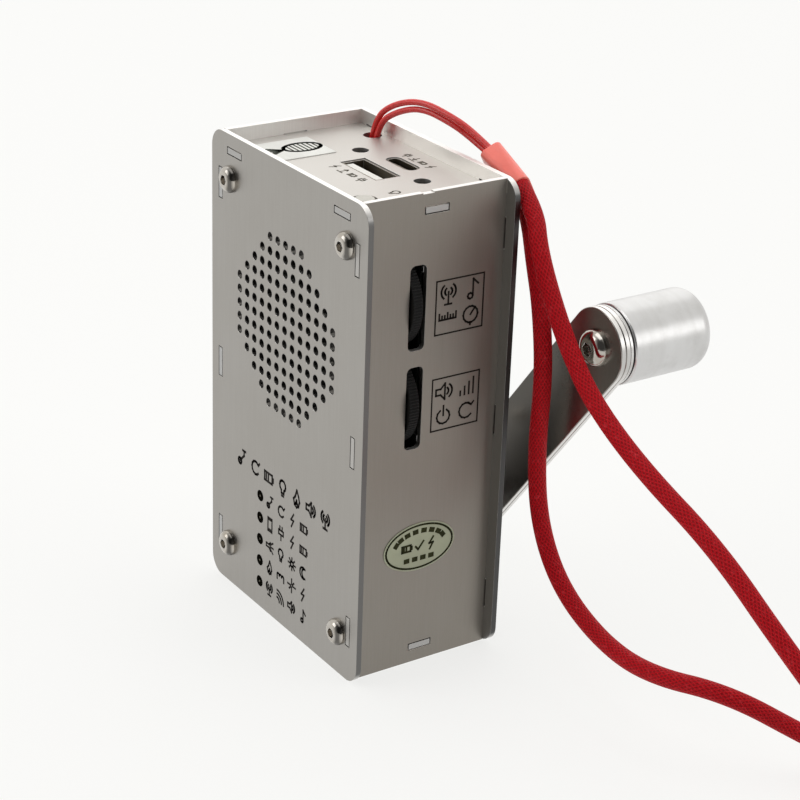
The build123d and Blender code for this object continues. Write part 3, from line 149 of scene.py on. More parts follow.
def sheet_metal(name, level, warmth, across, matt=0.27, cut_level=0.3, painted_lip_highlight=None):
    """Satin rolled sheet with a faint upright grain and handling marks.

    across is 0, 1 or 2 for the axis that runs through the sheet's thickness. Laser cut faces take
    the tone of cut_level where they face sideways, and a painted highlight where they face up or
    down. Given a lip level, a highlight is painted on the inner face of the lip that stands above
    the top wall.
    """
    finish = Finish(name, metallic=1.0)
    grain = finish.noise(1.0, 3.0, 0.6, vector=finish.stretch((4600, 4600, 90)))
    cloud = finish.noise(34, 4.0, 0.6)
    speck = finish.noise(2400, 2.0)
    scratch = finish.noise(1.0, 1.0, vector=finish.stretch((900, 900, 2400)))
    normal, edge = finish.softened_edges(0.00012)
    facing = finish.add("ShaderNodeSeparateXYZ")
    finish.links.new(finish.facing, facing.inputs["Vector"])
    cut = finish.span(finish.sum("ABSOLUTE", facing.outputs[across], 0), 1.0, 0.0, 0.4, 0.6)
    painted_cut_light = finish.span(finish.sum("ABSOLUTE", facing.outputs[2], 0), 0.0, 1.0, 0.3, 0.9)
    tone = finish.blend(cloud, grey(level * 0.9, warmth), grey(level * 1.1, warmth * 0.6))
    tone = finish.blend(finish.span(grain, 0.0, 0.3, 0.3, 0.75), tone, grey(level * 0.8, warmth))
    tone = finish.blend(finish.span(scratch, 0.0, 0.35, 0.74, 0.86), tone, grey(level * 1.3, 0.0))
    # Painted highlight on the inner face of the lip above the top wall, as if lit from above.
    if painted_lip_highlight:
        wall, lid, fade = right_wall_x * MM, top_wall_z * MM, 0.1 * MM
        place = finish.add("ShaderNodeSeparateXYZ")
        finish.links.new(finish.place, place.inputs["Vector"])
        above = finish.span(place.outputs["Z"], 0.0, 1.0, lid - fade, lid)
        inward = finish.span(facing.outputs["Y"], 1.0, 0.0, -0.6, -0.4)
        off_centre = finish.sum("ABSOLUTE", place.outputs["X"], 0)
        between = finish.span(off_centre, 1.0, 0.0, wall, wall + fade)
        lip = finish.sum("MULTIPLY", finish.sum("MULTIPLY", above, inward), between)
        tone = finish.blend(lip, tone, grey(painted_lip_highlight, warmth))
    # Painted light on the cut faces: bright where they face up or down, cut_level where they face
    # sideways.
    painted_cut_tone = finish.blend(painted_cut_light, grey(cut_level, warmth * 0.3), grey(0.85, 0.02))
    tone = finish.blend(cut, tone, painted_cut_tone)
    # A highlight painted along the edges, stronger on cut faces that face up or down.
    painted_edge_glint = finish.sum("MULTIPLY", edge, finish.span(painted_cut_light, 0.15, 0.6))
    finish.colour(finish.blend(painted_edge_glint, tone, grey(0.86, 0.02)))
    uneven = finish.span(speck, -0.03, 0.03)
    finish.rough(finish.sum("ADD", finish.span(cloud, matt, matt + 0.09), uneven))
    height = finish.sum("ADD", finish.span(grain, 0.0, 0.8), finish.span(speck, 0.0, 0.4))
    finish.relief(height, 0.000008, 0.3, normal)
    return finish.material


def polished_metal(name, level, warmth, matt=0.12, painted_reflection_band=False):
    """Plated hardware: bright, with fine turned scratches, small stains and a painted highlight
    along its edges.

    With the band option set, a dark reflection is painted into the plating as a darker band round
    the side of each crown.
    """
    finish = Finish(name, metallic=1.0)
    scratch = finish.noise(3000, 4.0, 0.7)
    stain = finish.noise(420, 3.0)
    normal, edge = finish.softened_edges(0.00012)
    stained = grey(level * 0.78, warmth * 2)
    tone = finish.blend(finish.span(stain, 0, 1, 0.35, 0.75), grey(level, warmth), stained)
    if painted_reflection_band:
        # Painted reflection: a dark band where the crown faces partly along X.
        facing = finish.add("ShaderNodeSeparateXYZ")
        finish.links.new(finish.facing, facing.inputs["Vector"])
        rising = finish.span(facing.outputs["X"], 0.0, 1.0, 0.1, 0.4)
        falling = finish.span(facing.outputs["X"], 1.0, 0.0, 0.72, 0.92)
        band = finish.sum("MULTIPLY", rising, falling)
        tone = finish.blend(finish.sum("MULTIPLY", band, 0.85), tone, grey(level * 0.12, warmth))
    # Painted highlight along the edges.
    finish.colour(finish.blend(edge, tone, grey(0.95, 0.01)))
    uneven = finish.span(stain, -0.02, 0.05)
    finish.rough(finish.sum("ADD", finish.span(scratch, matt, matt + 0.12), uneven))
    finish.relief(scratch, 0.000006, 0.4, normal)
    return finish.material


def turned_metal(name, level, matt=0.26):
    """Lathe turned surface with fine rings round an axis that runs along Y, and a painted highlight
    along its edges.
    """
    finish = Finish(name, metallic=1.0)
    along = finish.noise(1.0, 3.0, 0.6, vector=finish.stretch((60, 5200, 60)))
    broad = finish.noise(1.0, 2.0, 0.5, vector=finish.stretch((25, 420, 25)))
    stain = finish.noise(240, 4.0)
    normal, edge = finish.softened_edges(0.0002)
    tone = finish.blend(broad, grey(level * 0.86, 0.01), grey(level * 1.05, 0.0))
    tone = finish.blend(finish.span(stain, 0, 0.5, 0.5, 0.8), tone, grey(level * 0.7, 0.02))
    # Painted highlight along the edges.
    finish.colour(finish.blend(edge, tone, grey(0.95, 0.0)))
    uneven = finish.span(stain, 0, 0.06)
    finish.rough(finish.sum("ADD", finish.span(along, matt - 0.06, matt + 0.14), uneven))
    finish.relief(finish.sum("ADD", along, broad), 0.000012, 0.5, normal)
    return finish.material


def moulded_plastic(name, colour, matt, grain=1800, depth=0.00001, dust=None, gloss=0.5):
    """Moulded plastic with a fine spark grain, and dust where a dust colour is given."""
    finish = Finish(name)
    fine = finish.noise(grain, 3.0)
    broad = finish.noise(grain / 14, 3.0)
    normal, edge = finish.softened_edges(0.0002)
    dark = tuple(c * 0.82 for c in colour[:3]) + (1,)
    tone = finish.blend(broad, dark, colour)
    if dust:
        tone = finish.blend(finish.sum("MULTIPLY", edge, finish.span(fine, 0.1, 0.7)), tone, dust)
    finish.colour(tone)
    finish.rough(finish.span(fine, matt - 0.06, matt + 0.1))
    finish.shader.inputs["Specular IOR Level"].default_value = gloss
    finish.relief(fine, depth, 0.5, normal)
    return finish.material


def circuit_board(name, mask_colour, copper_colour):
    """Solder mask over copper tracks."""
    finish = Finish(name)
    tracks = finish.add("ShaderNodeTexVoronoi", feature="DISTANCE_TO_EDGE")
    finish.links.new(finish.place, tracks.inputs["Vector"])
    tracks.inputs["Scale"].default_value = 420
    line = finish.span(tracks.outputs["Distance"], 1.0, 0.0, 0.02, 0.07)
    finish.colour(finish.blend(line, mask_colour, copper_colour))
    finish.rough(finish.span(finish.noise(700), 0.28, 0.42))
    finish.relief(line, 0.00003, 0.6)
    return finish.material


def printed_ink(name, colour, gloss=0.08):
    """Laser darkened engraving or print, slightly uneven."""
    finish = Finish(name)
    blot = finish.noise(2600, 3.0)
    lighter = tuple(min(1, c * 2.4) for c in colour[:3]) + (1,)
    finish.colour(finish.blend(finish.span(blot, 0, 1, 0.45, 0.8), colour, lighter))
    finish.rough(finish.span(blot, 0.5, 0.7))
    finish.shader.inputs["Specular IOR Level"].default_value = gloss
    finish.relief(blot, 0.00001, 0.5)
    return finish.material


def paper_label(name, colour, matt):
    """Paper or printed film with a fine fibre and faded patches."""
    finish = Finish(name)
    fibre = finish.noise(1400, 5.0, 0.7)
    fade = finish.noise(160, 2.0)
    dark = tuple(c * 0.86 for c in colour[:3]) + (1,)
    finish.colour(finish.blend(finish.span(fade, 0, 1, 0.3, 0.7), colour, dark))
    finish.rough(finish.span(fibre, matt - 0.08, matt + 0.1))
    finish.relief(fibre, 0.00001, 0.5)
    return finish.material


def braided_cord(name, colour, shade, yarns, pitch):
    """Braid of crossing yarns; the tube's UV gives metres along it and turns round it."""
    finish = Finish(name)
    split = finish.add("ShaderNodeSeparateXYZ")
    finish.links.new(finish.unwrapped, split.inputs["Vector"])
    along = finish.sum("MULTIPLY", split.outputs["X"], 1 / pitch)
    around = finish.sum("MULTIPLY", split.outputs["Y"], yarns)
    left = finish.sum("PINGPONG", finish.sum("ADD", along, around), 0.5)
    right = finish.sum("PINGPONG", finish.sum("SUBTRACT", along, around), 0.5)
    yarn = finish.sum("MAXIMUM", left, right)
    fuzz = finish.noise(4200, 3.0)
    fibre = finish.noise(900, 2.0)
    # Painted shade: the valleys between the yarns take the darker shade colour.
    crown = finish.span(yarn, 0.0, 1.0, 0.16, 0.5)
    tone = finish.blend(crown, shade, colour)
    pale = (colour[0] + 0.16, colour[1] + 0.05, colour[2] + 0.06, 1)
    finish.colour(finish.blend(finish.span(fibre, 0, 0.35, 0.58, 0.75), tone, pale))
    finish.rough(finish.span(fuzz, 0.48, 0.7))
    finish.shader.inputs["Specular IOR Level"].default_value = 0.16
    finish.relief(finish.sum("ADD", crown, finish.span(fuzz, 0, 0.3)), 0.00014, 0.8)
    return finish.material


def soft_moulding(name, colour, matt, glow=0.15):
    """Slightly translucent soft plastic or a drawn plastic strand."""
    finish = Finish(name)
    broad = finish.noise(260, 3.0)
    fine = finish.noise(2600, 3.0)
    dark = (colour[0] * 0.86, colour[1] * 0.7, colour[2] * 0.7, 1)
    finish.colour(finish.blend(broad, dark, colour))
    finish.rough(finish.span(fine, matt - 0.05, matt + 0.09))
    finish.shader.inputs["Subsurface Weight"].default_value = glow
    finish.shader.inputs["Subsurface Radius"].default_value = (0.002, 0.0006, 0.0005)
    finish.relief(fine, 0.00001, 0.4)
    return finish.material


# One rolled steel in lit and shaded copies: the left plate's sheet and the top plate's sheet, which
# the bottom plate shares, are painted lighter as lit, and the right plate's sheet darker as shaded.
face_sheet = sheet_metal("face_sheet", 0.35, 0.06, 1, 0.27, 0.15)
rear_sheet = sheet_metal("rear_sheet", 0.32, 0.02, 1, 0.34, 0.08, painted_lip_highlight=0.98)
shaded_wall_sheet = sheet_metal("shaded_wall_sheet", 0.265, 0.10, 0, 0.42, 0.46)
lit_left_sheet = sheet_metal("lit_left_sheet", 0.85, 0.02, 0, 0.4, 0.46)
lit_lid_sheet = sheet_metal("lit_lid_sheet", 0.60, 0.05, 2, 0.44, 0.44)
arm_sheet = sheet_metal("arm_sheet", 0.32, 0.06, 1, 0.25, 0.55)
inner_sheet = sheet_metal("inner_sheet", 0.42, 0.01, 1, 0.3, 0.42)
screw_metal = polished_metal("plated_screws", 0.48, 0.05, 0.06)
case_screw_metal = polished_metal("case_screws", 0.52, 0.05, 0.06, painted_reflection_band=True)
ring_metal = polished_metal("plated_rings", 0.66, 0.01, 0.18)
shell_metal = polished_metal("socket_shells", 0.20, 0.12, 0.3)
grip_metal = turned_metal("turned_grip", 0.66)
hub_metal = turned_metal("turned_hub", 0.62)
bronze = polished_metal("bearing_bronze", 0.5, 0.32, 0.25)
steel = polished_metal("machined_steel", 0.45, 0.0, 0.28)
nylon = moulded_plastic("idler_nylon", (0.72, 0.70, 0.62, 1), 0.45)
black_plastic = moulded_plastic(
    "black_plastic", (0.018, 0.018, 0.018, 1), 0.42, dust=(0.12, 0.12, 0.115, 1),
)
wheel_plastic = moulded_plastic(
    "wheel_plastic", (0.004, 0.004, 0.004, 1), 0.36, dust=(0.05, 0.048, 0.042, 1), gloss=0.16,
)
white_plastic = moulded_plastic("socket_tongue", (0.86, 0.85, 0.80, 1), 0.35)
button_plastic = moulded_plastic("button_cap", (0.60, 0.58, 0.52, 1), 0.4)
lamp_lens = moulded_plastic("lamp_lens", (0.05, 0.040, 0.026, 1), 0.3, gloss=0.2)
board_green = circuit_board("green_board", (0.02, 0.12, 0.05, 1), (0.10, 0.24, 0.12, 1))
board_black = circuit_board("black_board", (0.008, 0.009, 0.008, 1), (0.02, 0.022, 0.02, 1))
cone_paper = paper_label("cone_paper", (0.02, 0.02, 0.02, 1), 0.8)
ferrite = moulded_plastic("ferrite", (0.05, 0.05, 0.055, 1), 0.6, grain=2600)
cell_foil = polished_metal("cell_foil", 0.6, 0.0, 0.35)
engraving_ink = printed_ink("engraving", (0.012, 0.010, 0.008, 1))
bullet_ink = printed_ink("bullet_ink", (0.003, 0.003, 0.002, 1), 0.0)
faint_engraving = printed_ink("faint_engraving", (0.10, 0.09, 0.07, 1))
label_ink = printed_ink("label_ink", (0.045, 0.050, 0.040, 1))
sticker_ink = printed_ink("sticker_print", (0.024, 0.026, 0.009, 1))
sticker_film = paper_label("sticker_film", (0.43, 0.46, 0.32, 1), 0.4)
label_paper = paper_label("label_paper", (0.82, 0.82, 0.78, 1), 0.5)
loop_braid = braided_cord("red_braid", (0.56, 0.001, 0.008, 1), (0.24, 0.0, 0.003, 1), 16, 0.0013)
strand_plastic = soft_moulding("red_strand", (0.70, 0.03, 0.028, 1), 0.24, 0.15)
sleeve_plastic = soft_moulding("salmon_sleeve", (0.98, 0.22, 0.17, 1), 0.32, 0.25)

node_finish = {
    face_sheet: "front_plate",
    rear_sheet: "rear_plate",
    shaded_wall_sheet: "right_plate",
    lit_left_sheet: "left_plate",
    lit_lid_sheet: "top_plate bottom_plate",
    arm_sheet: "front_arm rear_arm",
    inner_sheet: "gear_plate board_brackets speaker_frame speaker_clamps generator_can",
    screw_metal: "hub_screw handle_screw gearbox_screws",
    case_screw_metal: "front_screws rear_screws",
    ring_metal: "grip_washer hub_washer",
    shell_metal: "usb_a_shell usb_c_port",
    grip_metal: "handle_grip grip_cap",
    hub_metal: "crank_hub",
    bronze: "rear_bearing shaft_bush generator_pinion gear_pillars",
    steel: "crank_shaft drive_gear idler_pin generator_shaft armature handle_axle standoffs",
    nylon: "idler_gear",
    black_plastic: "generator_cap charger_parts button_switch antenna_clips volume_control",
    wheel_plastic: "tuning_wheel volume_wheel",
    white_plastic: "usb_a_tongue tuning_capacitor",
    button_plastic: "lamp_button",
    lamp_lens: "lamp_leds",
    board_green: "charger_board",
    board_black: "radio_board",
    cone_paper: "speaker_cone",
    ferrite: "speaker_magnet field_magnets ferrite_antenna",
    cell_foil: "battery_cell",
    sticker_film: "oval_sticker",
    label_paper: "top_label",
    strand_plastic: "strap_cord",
    sleeve_plastic: "strap_sleeve",
    loop_braid: "wrist_loop",
}
for finish, names in node_finish.items():
    for name in names.split():
        slots = nodes[name].data.materials
        slots.clear()
        slots.append(finish)


# ---------------------------------------------------------------- strap
strand_radius = 0.65
loop_radius = 1.85
outer_strand_route = [
    (-17.72, 13.5, 96.5), (-17.1, 13.9, 103.4), (-12.7, 15.6, 107.6), (-5.0, 17.5, 110.0),
    (3.7, 19.7, 108.3), (8.2, 21.4, 106.3), (14.4, 22.4, 103.5),
]
inner_strand_route = [
    (-16.28, 13.5, 96.5), (-15.7, 13.9, 102.8), (-11.4, 15.8, 106.3), (-4.9, 17.6, 108.5),
    (2.9, 19.8, 106.9), (7.1, 21.5, 104.9), (13.8, 22.6, 102.3),
]
wrist_loop_route = [
    (23.3, 23.0, 97.8), (28.2, 21.5, 94.0), (33.2, 19.4, 87.4), (36.6, 19.1, 79.0),
    (38.8, 19.1, 65.0), (37.9, 19.1, 48.5), (40.2, 19.1, 33.3), (48.4, 19.1, 22.2),
    (62.5, 19.1, 16.6), (77.5, 18.9, 16.8), (92.8, 25.6, 18.6), (102.0, 38.5, 10.0),
    (110.0, 50.5, 2.4), (123.0, 56.5, 2.0), (135.0, 49.5, 2.0), (136.0, 37.5, 7.0),
    (126.0, 29.5, 21.0), (108.0, 23.5, 37.0), (91.0, 20.5, 50.2), (72.5, 17.1, 59.2),
    (57.6, 16.5, 67.2), (49.4, 16.5, 75.0), (43.2, 16.6, 82.8), (37.4, 17.0, 91.4),
    (31.8, 19.9, 97.2), (24.5, 20.9, 100.7),
]


def cord_line(name, route, radius=0.0, rings=6):
    """One smooth line through the route, as a curve that may have a round section."""
    curve = bpy.data.curves.new(name, "CURVE")
    curve.dimensions = "3D"
    curve.resolution_u = 16
    curve.bevel_depth = radius * MM
    curve.bevel_resolution = rings
    curve.use_fill_caps = radius > 0
    spline = curve.splines.new("NURBS")
    spline.points.add(len(route) - 1)
    for point, (x, y, z) in zip(spline.points, route):
        point.co = (x * MM, y * MM, z * MM, 1)
    spline.order_u = 3
    spline.use_endpoint_u = True
    piece = bpy.data.objects.new(name, curve)
    bpy.context.scene.collection.objects.link(piece)
    return piece


def meshed(piece):
    """The mesh that Blender makes of a curve; the curve itself is dropped."""
    bpy.context.view_layer.update()
    solved = piece.evaluated_get(bpy.context.evaluated_depsgraph_get())
    mesh = bpy.data.meshes.new_from_object(solved)
    bpy.data.objects.remove(piece)
    return mesh


def braided_tube(name, route, radius, finish):
    """Mesh tube along the route whose UV runs in metres along it, and its centre line."""
    rings = 8
    corners = 2 * (rings + 2)
    line = [vertex.co.copy() for vertex in meshed(cord_line("line", route)).vertices]
    mesh = meshed(cord_line(name, route, radius, rings))
    travelled = [0.0]
    for before, after in zip(line, line[1:]):
        travelled.append(travelled[-1] + (after - before).length)
    unwrap = mesh.uv_layers[0].data
    for loop in mesh.loops:
        unwrap[loop.index].uv.x = travelled[min(loop.vertex_index // corners, len(line) - 1)]
    mesh.name = name
    mesh.materials.clear()
    mesh.materials.append(finish)
    mesh.shade_smooth()
    piece = bpy.data.objects.new(name, mesh)
    bpy.context.scene.collection.objects.link(piece)
    return piece, line


def finished_copy(node, name, finish, edge):
    """A copy of a plain solid with its doubles merged and its corners rounded off."""
    shape = bmesh.new()
    shape.from_mesh(nodes[node].data)
    bmesh.ops.remove_doubles(shape, verts=shape.verts, dist=0.00001)
    bmesh.ops.dissolve_limit(
        shape, angle_limit=math.radians(1), verts=shape.verts, edges=shape.edges,
    )
    sharp = [
        e for e in shape.edges
        if len(e.link_faces) == 2 and e.calc_face_angle() > math.radians(40)
    ]
    bmesh.ops.bevel(
        shape, geom=sharp, offset=edge, offset_type="OFFSET", segments=4, profile=0.5,
        affect="EDGES", material=-1, clamp_overlap=True,
    )
    mesh = bpy.data.meshes.new(name)
    shape.to_mesh(mesh)
    shape.free()
    mesh.shade_smooth()
    mesh.materials.append(finish)
    piece = bpy.data.objects.new(name, mesh)
    bpy.context.scene.collection.objects.link(piece)
    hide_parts(node)
    return piece


sleeve = finished_copy("strap_sleeve", "sleeve_moulding", sleeve_plastic, 0.0005)
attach(sleeve, "case")

outer_strand = cord_line("outer_strand", outer_strand_route, strand_radius)
inner_strand = cord_line("inner_strand", inner_strand_route, strand_radius)
for strand, route, length in (
    (outer_strand, outer_strand_route, 0.0422), (inner_strand, inner_strand_route, 0.0392),
):
    strand.data.materials.append(strand_plastic)
    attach(strand, "case")
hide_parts("strap_cord")


def overhand_knot(steps=48):
    """Both strands tied below the hole: a trefoil drawn as one closed round cord."""
    middle = (-17.0, 13.5, 96.55)
    size = 0.55
    points = []
    for step in range(steps):
        t = 2 * math.pi * step / steps
        points.append((
            middle[0] + size * (math.sin(t) + 2 * math.sin(2 * t)),
            middle[1] + size * (math.cos(t) - 2 * math.cos(2 * t)),
            middle[2] - 1.0 * math.sin(3 * t),
        ))
    knot = cord_line("strand_knot", points, strand_radius)
    spline = knot.data.splines[0]
    spline.use_endpoint_u = False
    spline.use_cyclic_u = True
    knot.data.use_fill_caps = False
    knot.data.materials.append(strand_plastic)
    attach(knot, "case")


overhand_knot()

loop_cord, loop_line = braided_tube("loop_cord", wrist_loop_route, loop_radius, loop_braid)
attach(loop_cord, "case")
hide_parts("wrist_loop")


# ---------------------------------------------------------------- engraved and printed marks
def arc(x, y, radius, start, end, steps=10):
    """Points on part of a circle; start and end in degrees."""
    angles = [math.radians(start + (end - start) * i / steps) for i in range(steps + 1)]
    return [(x + radius * math.cos(a), y + radius * math.sin(a)) for a in angles]


def box_line(left, low, right, high):
    return [(left, low), (right, low), (right, high), (left, high), (left, low)]


# Each picture is drawn with pen strokes inside a square from -0.5 to 0.5.
pictures = {
    "crank": [
        arc(-0.25, -0.25, 0.17, 0, 360), [(-0.25, -0.25), (0.2, 0.2)], [(0.2, 0.2), (0.2, 0.48)],
        [(0.05, 0.48), (0.35, 0.48)],
    ],
    "turning": [arc(0, 0, 0.38, 40, 320), [(0.42, 0.38), (0.29, 0.24), (0.1, 0.36)]],
    "bolt": [[(0.14, 0.5), (-0.2, 0.0), (0.14, 0.02), (-0.14, -0.5)]],
    "cell": [
        box_line(-0.46, -0.26, 0.34, 0.26), [(0.45, -0.1), (0.45, 0.1)],
        [(-0.28, -0.12), (-0.28, 0.12)], [(-0.06, -0.12), (-0.06, 0.12)],
    ],
    "handset": [
        box_line(-0.27, -0.5, 0.27, 0.5), [(-0.1, -0.36), (0.1, -0.36)],
        [(-0.12, 0.38), (0.12, 0.38)],
    ],
    "plug": [
        [(-0.15, 0.5), (-0.15, 0.22)], [(0.15, 0.5), (0.15, 0.22)],
        box_line(-0.3, -0.1, 0.3, 0.22), [(0, -0.1), (0, -0.5)],
    ],
    "bulb": [
        arc(0, 0.14, 0.3, -60, 240), [(-0.15, -0.12), (-0.12, -0.3), (0.12, -0.3), (0.15, -0.12)],
        [(-0.09, -0.46), (0.09, -0.46)],
    ],
    "torch": [
        [
            (-0.46, 0.12), (-0.1, 0.12), (0.08, 0.3), (0.08, -0.3), (-0.1, -0.12), (-0.46, -0.12),
            (-0.46, 0.12),
        ],
        [(0.22, 0), (0.46, 0)], [(0.2, 0.24), (0.42, 0.4)], [(0.2, -0.24), (0.42, -0.4)],
    ],
    "sun": [arc(0, 0, 0.18, 0, 360)] + [
        [(0.28 * math.cos(a), 0.28 * math.sin(a)), (0.46 * math.cos(a), 0.46 * math.sin(a))]
        for a in (0, 0.785, 1.571, 2.356, 3.142, 3.927, 4.712, 5.498)
    ],
    "moon": [arc(0, 0, 0.42, 60, 300), arc(0.2, 0, 0.36, 86, 274)],
    "flame": [
        [
            (0.02, 0.5), (0.2, 0.2), (0.3, -0.1), (0.2, -0.4), (0, -0.5), (-0.2, -0.4),
            (-0.3, -0.1), (-0.14, 0.1), (0.02, 0.5),
        ],
        [(0, -0.1), (0.08, -0.3), (-0.08, -0.3), (0, -0.1)],
    ],
    "spark": [
        [(0, 0.5), (0, 0.12)], [(0, -0.12), (0, -0.5)], [(0.5, 0), (0.12, 0)],
        [(-0.12, 0), (-0.5, 0)], [(0.3, 0.3), (0.12, 0.12)], [(-0.3, -0.3), (-0.12, -0.12)],
    ],
    "coil": [
        arc(-0.3, 0, 0.14, 180, 0), arc(0, 0, 0.14, 180, 0), arc(0.3, 0, 0.14, 180, 0),
        [(-0.44, 0), (-0.44, -0.3)], [(0.44, 0), (0.44, -0.3)],
    ],
    "speaker": [
        [
            (-0.46, 0.15), (-0.2, 0.15), (0.04, 0.4), (0.04, -0.4), (-0.2, -0.15), (-0.46, -0.15),
            (-0.46, 0.15),
        ],
        arc(0.04, 0, 0.2, -50, 50, 6), arc(0.04, 0, 0.4, -50, 50, 8),
    ],
    "waves": [
        arc(-0.42, -0.42, 0.3, 0, 90, 6), arc(-0.42, -0.42, 0.58, 0, 90, 8),
        arc(-0.42, -0.42, 0.86, 0, 90, 10),
    ],
    "note": [[(0.08, -0.3), (0.08, 0.5), (0.36, 0.24)], arc(-0.06, -0.32, 0.14, 0, 360, 8)],
    "mast": [
        [(0, 0.1), (0, -0.5)], [(-0.18, -0.5), (0.18, -0.5)], arc(0, 0.12, 0.2, -50, 50, 5),
        arc(0, 0.12, 0.4, -50, 50, 7), arc(0, 0.12, 0.2, 130, 230, 5),
        arc(0, 0.12, 0.4, 130, 230, 7),
    ],
    "dial": [arc(0, 0, 0.4, 0, 360, 14), [(0, 0), (0.2, 0.26)], [(0, -0.4), (0, -0.5)]],
    "scale": [[(-0.46, 0), (0.46, 0)]] + [
        [(0.46 * i / 3, 0), (0.46 * i / 3, 0.3 if i % 3 == 0 else 0.18)] for i in range(-3, 4)
    ],
    "power": [arc(0, -0.04, 0.36, 120, 420), [(0, 0.5), (0, 0.02)]],
    "steps": [[(-0.36 + 0.24 * i, -0.4), (-0.36 + 0.24 * i, -0.2 + 0.2 * i)] for i in range(4)],
    "tick": [[(-0.34, 0.0), (-0.1, -0.28), (0.38, 0.34)]],
    "into": [
        [(0, 0.5), (0, -0.2)], [(-0.22, 0.02), (0, -0.22), (0.22, 0.02)],
        [(-0.4, -0.45), (0.4, -0.45)],
    ],
    "out_of": [
        [(0, -0.3), (0, 0.45)], [(-0.22, 0.22), (0, 0.47), (0.22, 0.22)],
        [(-0.4, -0.45), (0.4, -0.45)],
    ],
}


class Marks:
    """Thin marks on one flat face, drawn in millimetres across and up that face."""

    depth = 0.03

    def __init__(self, name, origin, across, up, finish):
        self.name, self.finish = name, finish
        across, up = Vector(across), Vector(up)
        out = across.cross(up)
        turn = Matrix((across, up, out)).transposed().to_4x4()
        self.face = Matrix.Translation(Vector(origin) * MM) @ turn
        self.shape = bmesh.new()

    def bar(self, start, end, pen):
        run = Vector((end[0] - start[0], end[1] - start[1]))
        middle = Matrix.Translation(((start[0] + end[0]) / 2 * MM, (start[1] + end[1]) / 2 * MM, 0))
        turn = Matrix.Rotation(math.atan2(run.y, run.x), 4, "Z")
        size = Matrix.Diagonal(((run.length + pen) * MM, pen * MM, self.depth * MM, 1))
        bmesh.ops.create_cube(self.shape, size=1, matrix=self.face @ middle @ turn @ size)

    def stroke(self, points, pen):
        for start, end in zip(points, points[1:]):
            self.bar(start, end, pen)

    def dot(self, x, y, radius, lift=0.0):
        bmesh.ops.create_cone(
            self.shape, cap_ends=True, segments=28, radius1=radius * MM, radius2=radius * MM,
            depth=self.depth * MM,
            matrix=self.face @ Matrix.Translation((x * MM, y * MM, lift * MM)),
        )

    def picture(self, name, x, y, size, pen):
        for line in pictures[name]:
            self.stroke([(x + px * size, y + py * size) for px, py in line], pen)

    def row(self, names, x, y, step, size, pen):
        for i, name in enumerate(names):
            self.picture(name, x + i * step, y, size, pen)

    def done(self):
        mesh = bpy.data.meshes.new(self.name)
        self.shape.to_mesh(mesh)
        self.shape.free()
        mesh.materials.append(self.finish)
        piece = bpy.data.objects.new(self.name, mesh)
        bpy.context.scene.collection.objects.link(piece)
        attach(piece, "case")


# A heading and five rows, each with a round bullet before it.
front = ((0, front_face_y, 0), (1, 0, 0), (0, 0, 1))
front_marks = Marks("front_engraving", *front, engraving_ink)
bullets = Marks("bullets", *front, bullet_ink)
bullet_centres = Marks("bullet_centres", *front, faint_engraving)
heading = ("crank", "turning", "cell", "bulb", "flame", "speaker", "mast")
front_marks.row(heading, -16.9, 32.5, 5.65, 3.9, 0.56)
bullet_x, first_row_z, row_drop = -9.15, 26.8, 5.15
for i, names in enumerate((
    ("crank", "turning", "bolt", "cell"),
    ("handset", "plug", "bolt", "cell"),
    ("torch", "bulb", "sun", "moon"),
    ("flame", "coil", "spark", "bolt"),
    ("mast", "waves", "speaker", "note"),
)):
    z = first_row_z - row_drop * i
    bullets.dot(bullet_x, z, 1.24)
    bullet_centres.dot(bullet_x, z, 0.24, 0.01)
    front_marks.row(names, -5.0, z, 4.6, 3.1, 0.46)
front_marks.done()
bullets.done()
bullet_centres.done()

# A square of four pictures beside each thumbwheel.
wall_marks = Marks("wall_engraving", (right_wall_x, 0, 0), (0, 1, 0), (0, 0, 1), engraving_ink)
square = 11.3
for low, names in (
    (73.0, ("mast", "note", "scale", "dial")), (52.2, ("speaker", "steps", "power", "turning")),
):
    wall_marks.stroke(box_line(0.6, low, 0.6 + square, low + square), 0.34)
    wall_marks.row(names[:2], 3.5, low + 8.3, 5.5, 4.3, 0.42)
    wall_marks.row(names[2:], 3.5, low + 3.0, 5.5, 4.3, 0.42)
wall_marks.done()

# Pictures at the two sockets, a bulb at the lamp's button and a ring round the button.
top_marks = Marks("top_engraving", (0, 0, top_wall_z), (1, 0, 0), (0, 1, 0), faint_engraving)
top_marks.row(("bolt", "out_of", "cell", "plug"), -2.6, -4.6, 3.2, 2.2, 0.34)
top_marks.row(("plug", "into", "cell", "bolt"), -1.9, 12.2, 2.85, 2.1, 0.34)
top_marks.picture("bulb", 16.6, -3.0, 2.6, 0.3)
top_marks.stroke(arc(17.4, -10.4, 2.45, 0, 360, 32), 0.26)
top_marks.done()

# A hand lamp: a ribbed body and a cone of light.
label_top_z = top_wall_z + label_thickness
label_print = Marks("label_print", (-16.2, -6.0, label_top_z), (0, 1, 0), (-1, 0, 0), label_ink)
label_print.stroke([(4.2 * x + 1.9, 2.6 * y + 0.1) for x, y in arc(0, 0, 1, 0, 360, 28)], 0.8)
for rib in (-1.9, -0.9, 0.1, 1.1, 2.1, 3.1, 4.1):
    half = 2.3 * math.sqrt(1 - ((rib - 1.0) / 4.4) ** 2)
    label_print.bar((rib + 0.9, 0.1 - half), (rib + 0.9, 0.1 + half), 0.42)
for spread in (1.9, 1.1, 0.2, -0.7, -1.5):
    label_print.bar((-5.3, spread), (-2.7, 0.0), 0.75)
label_print.done()

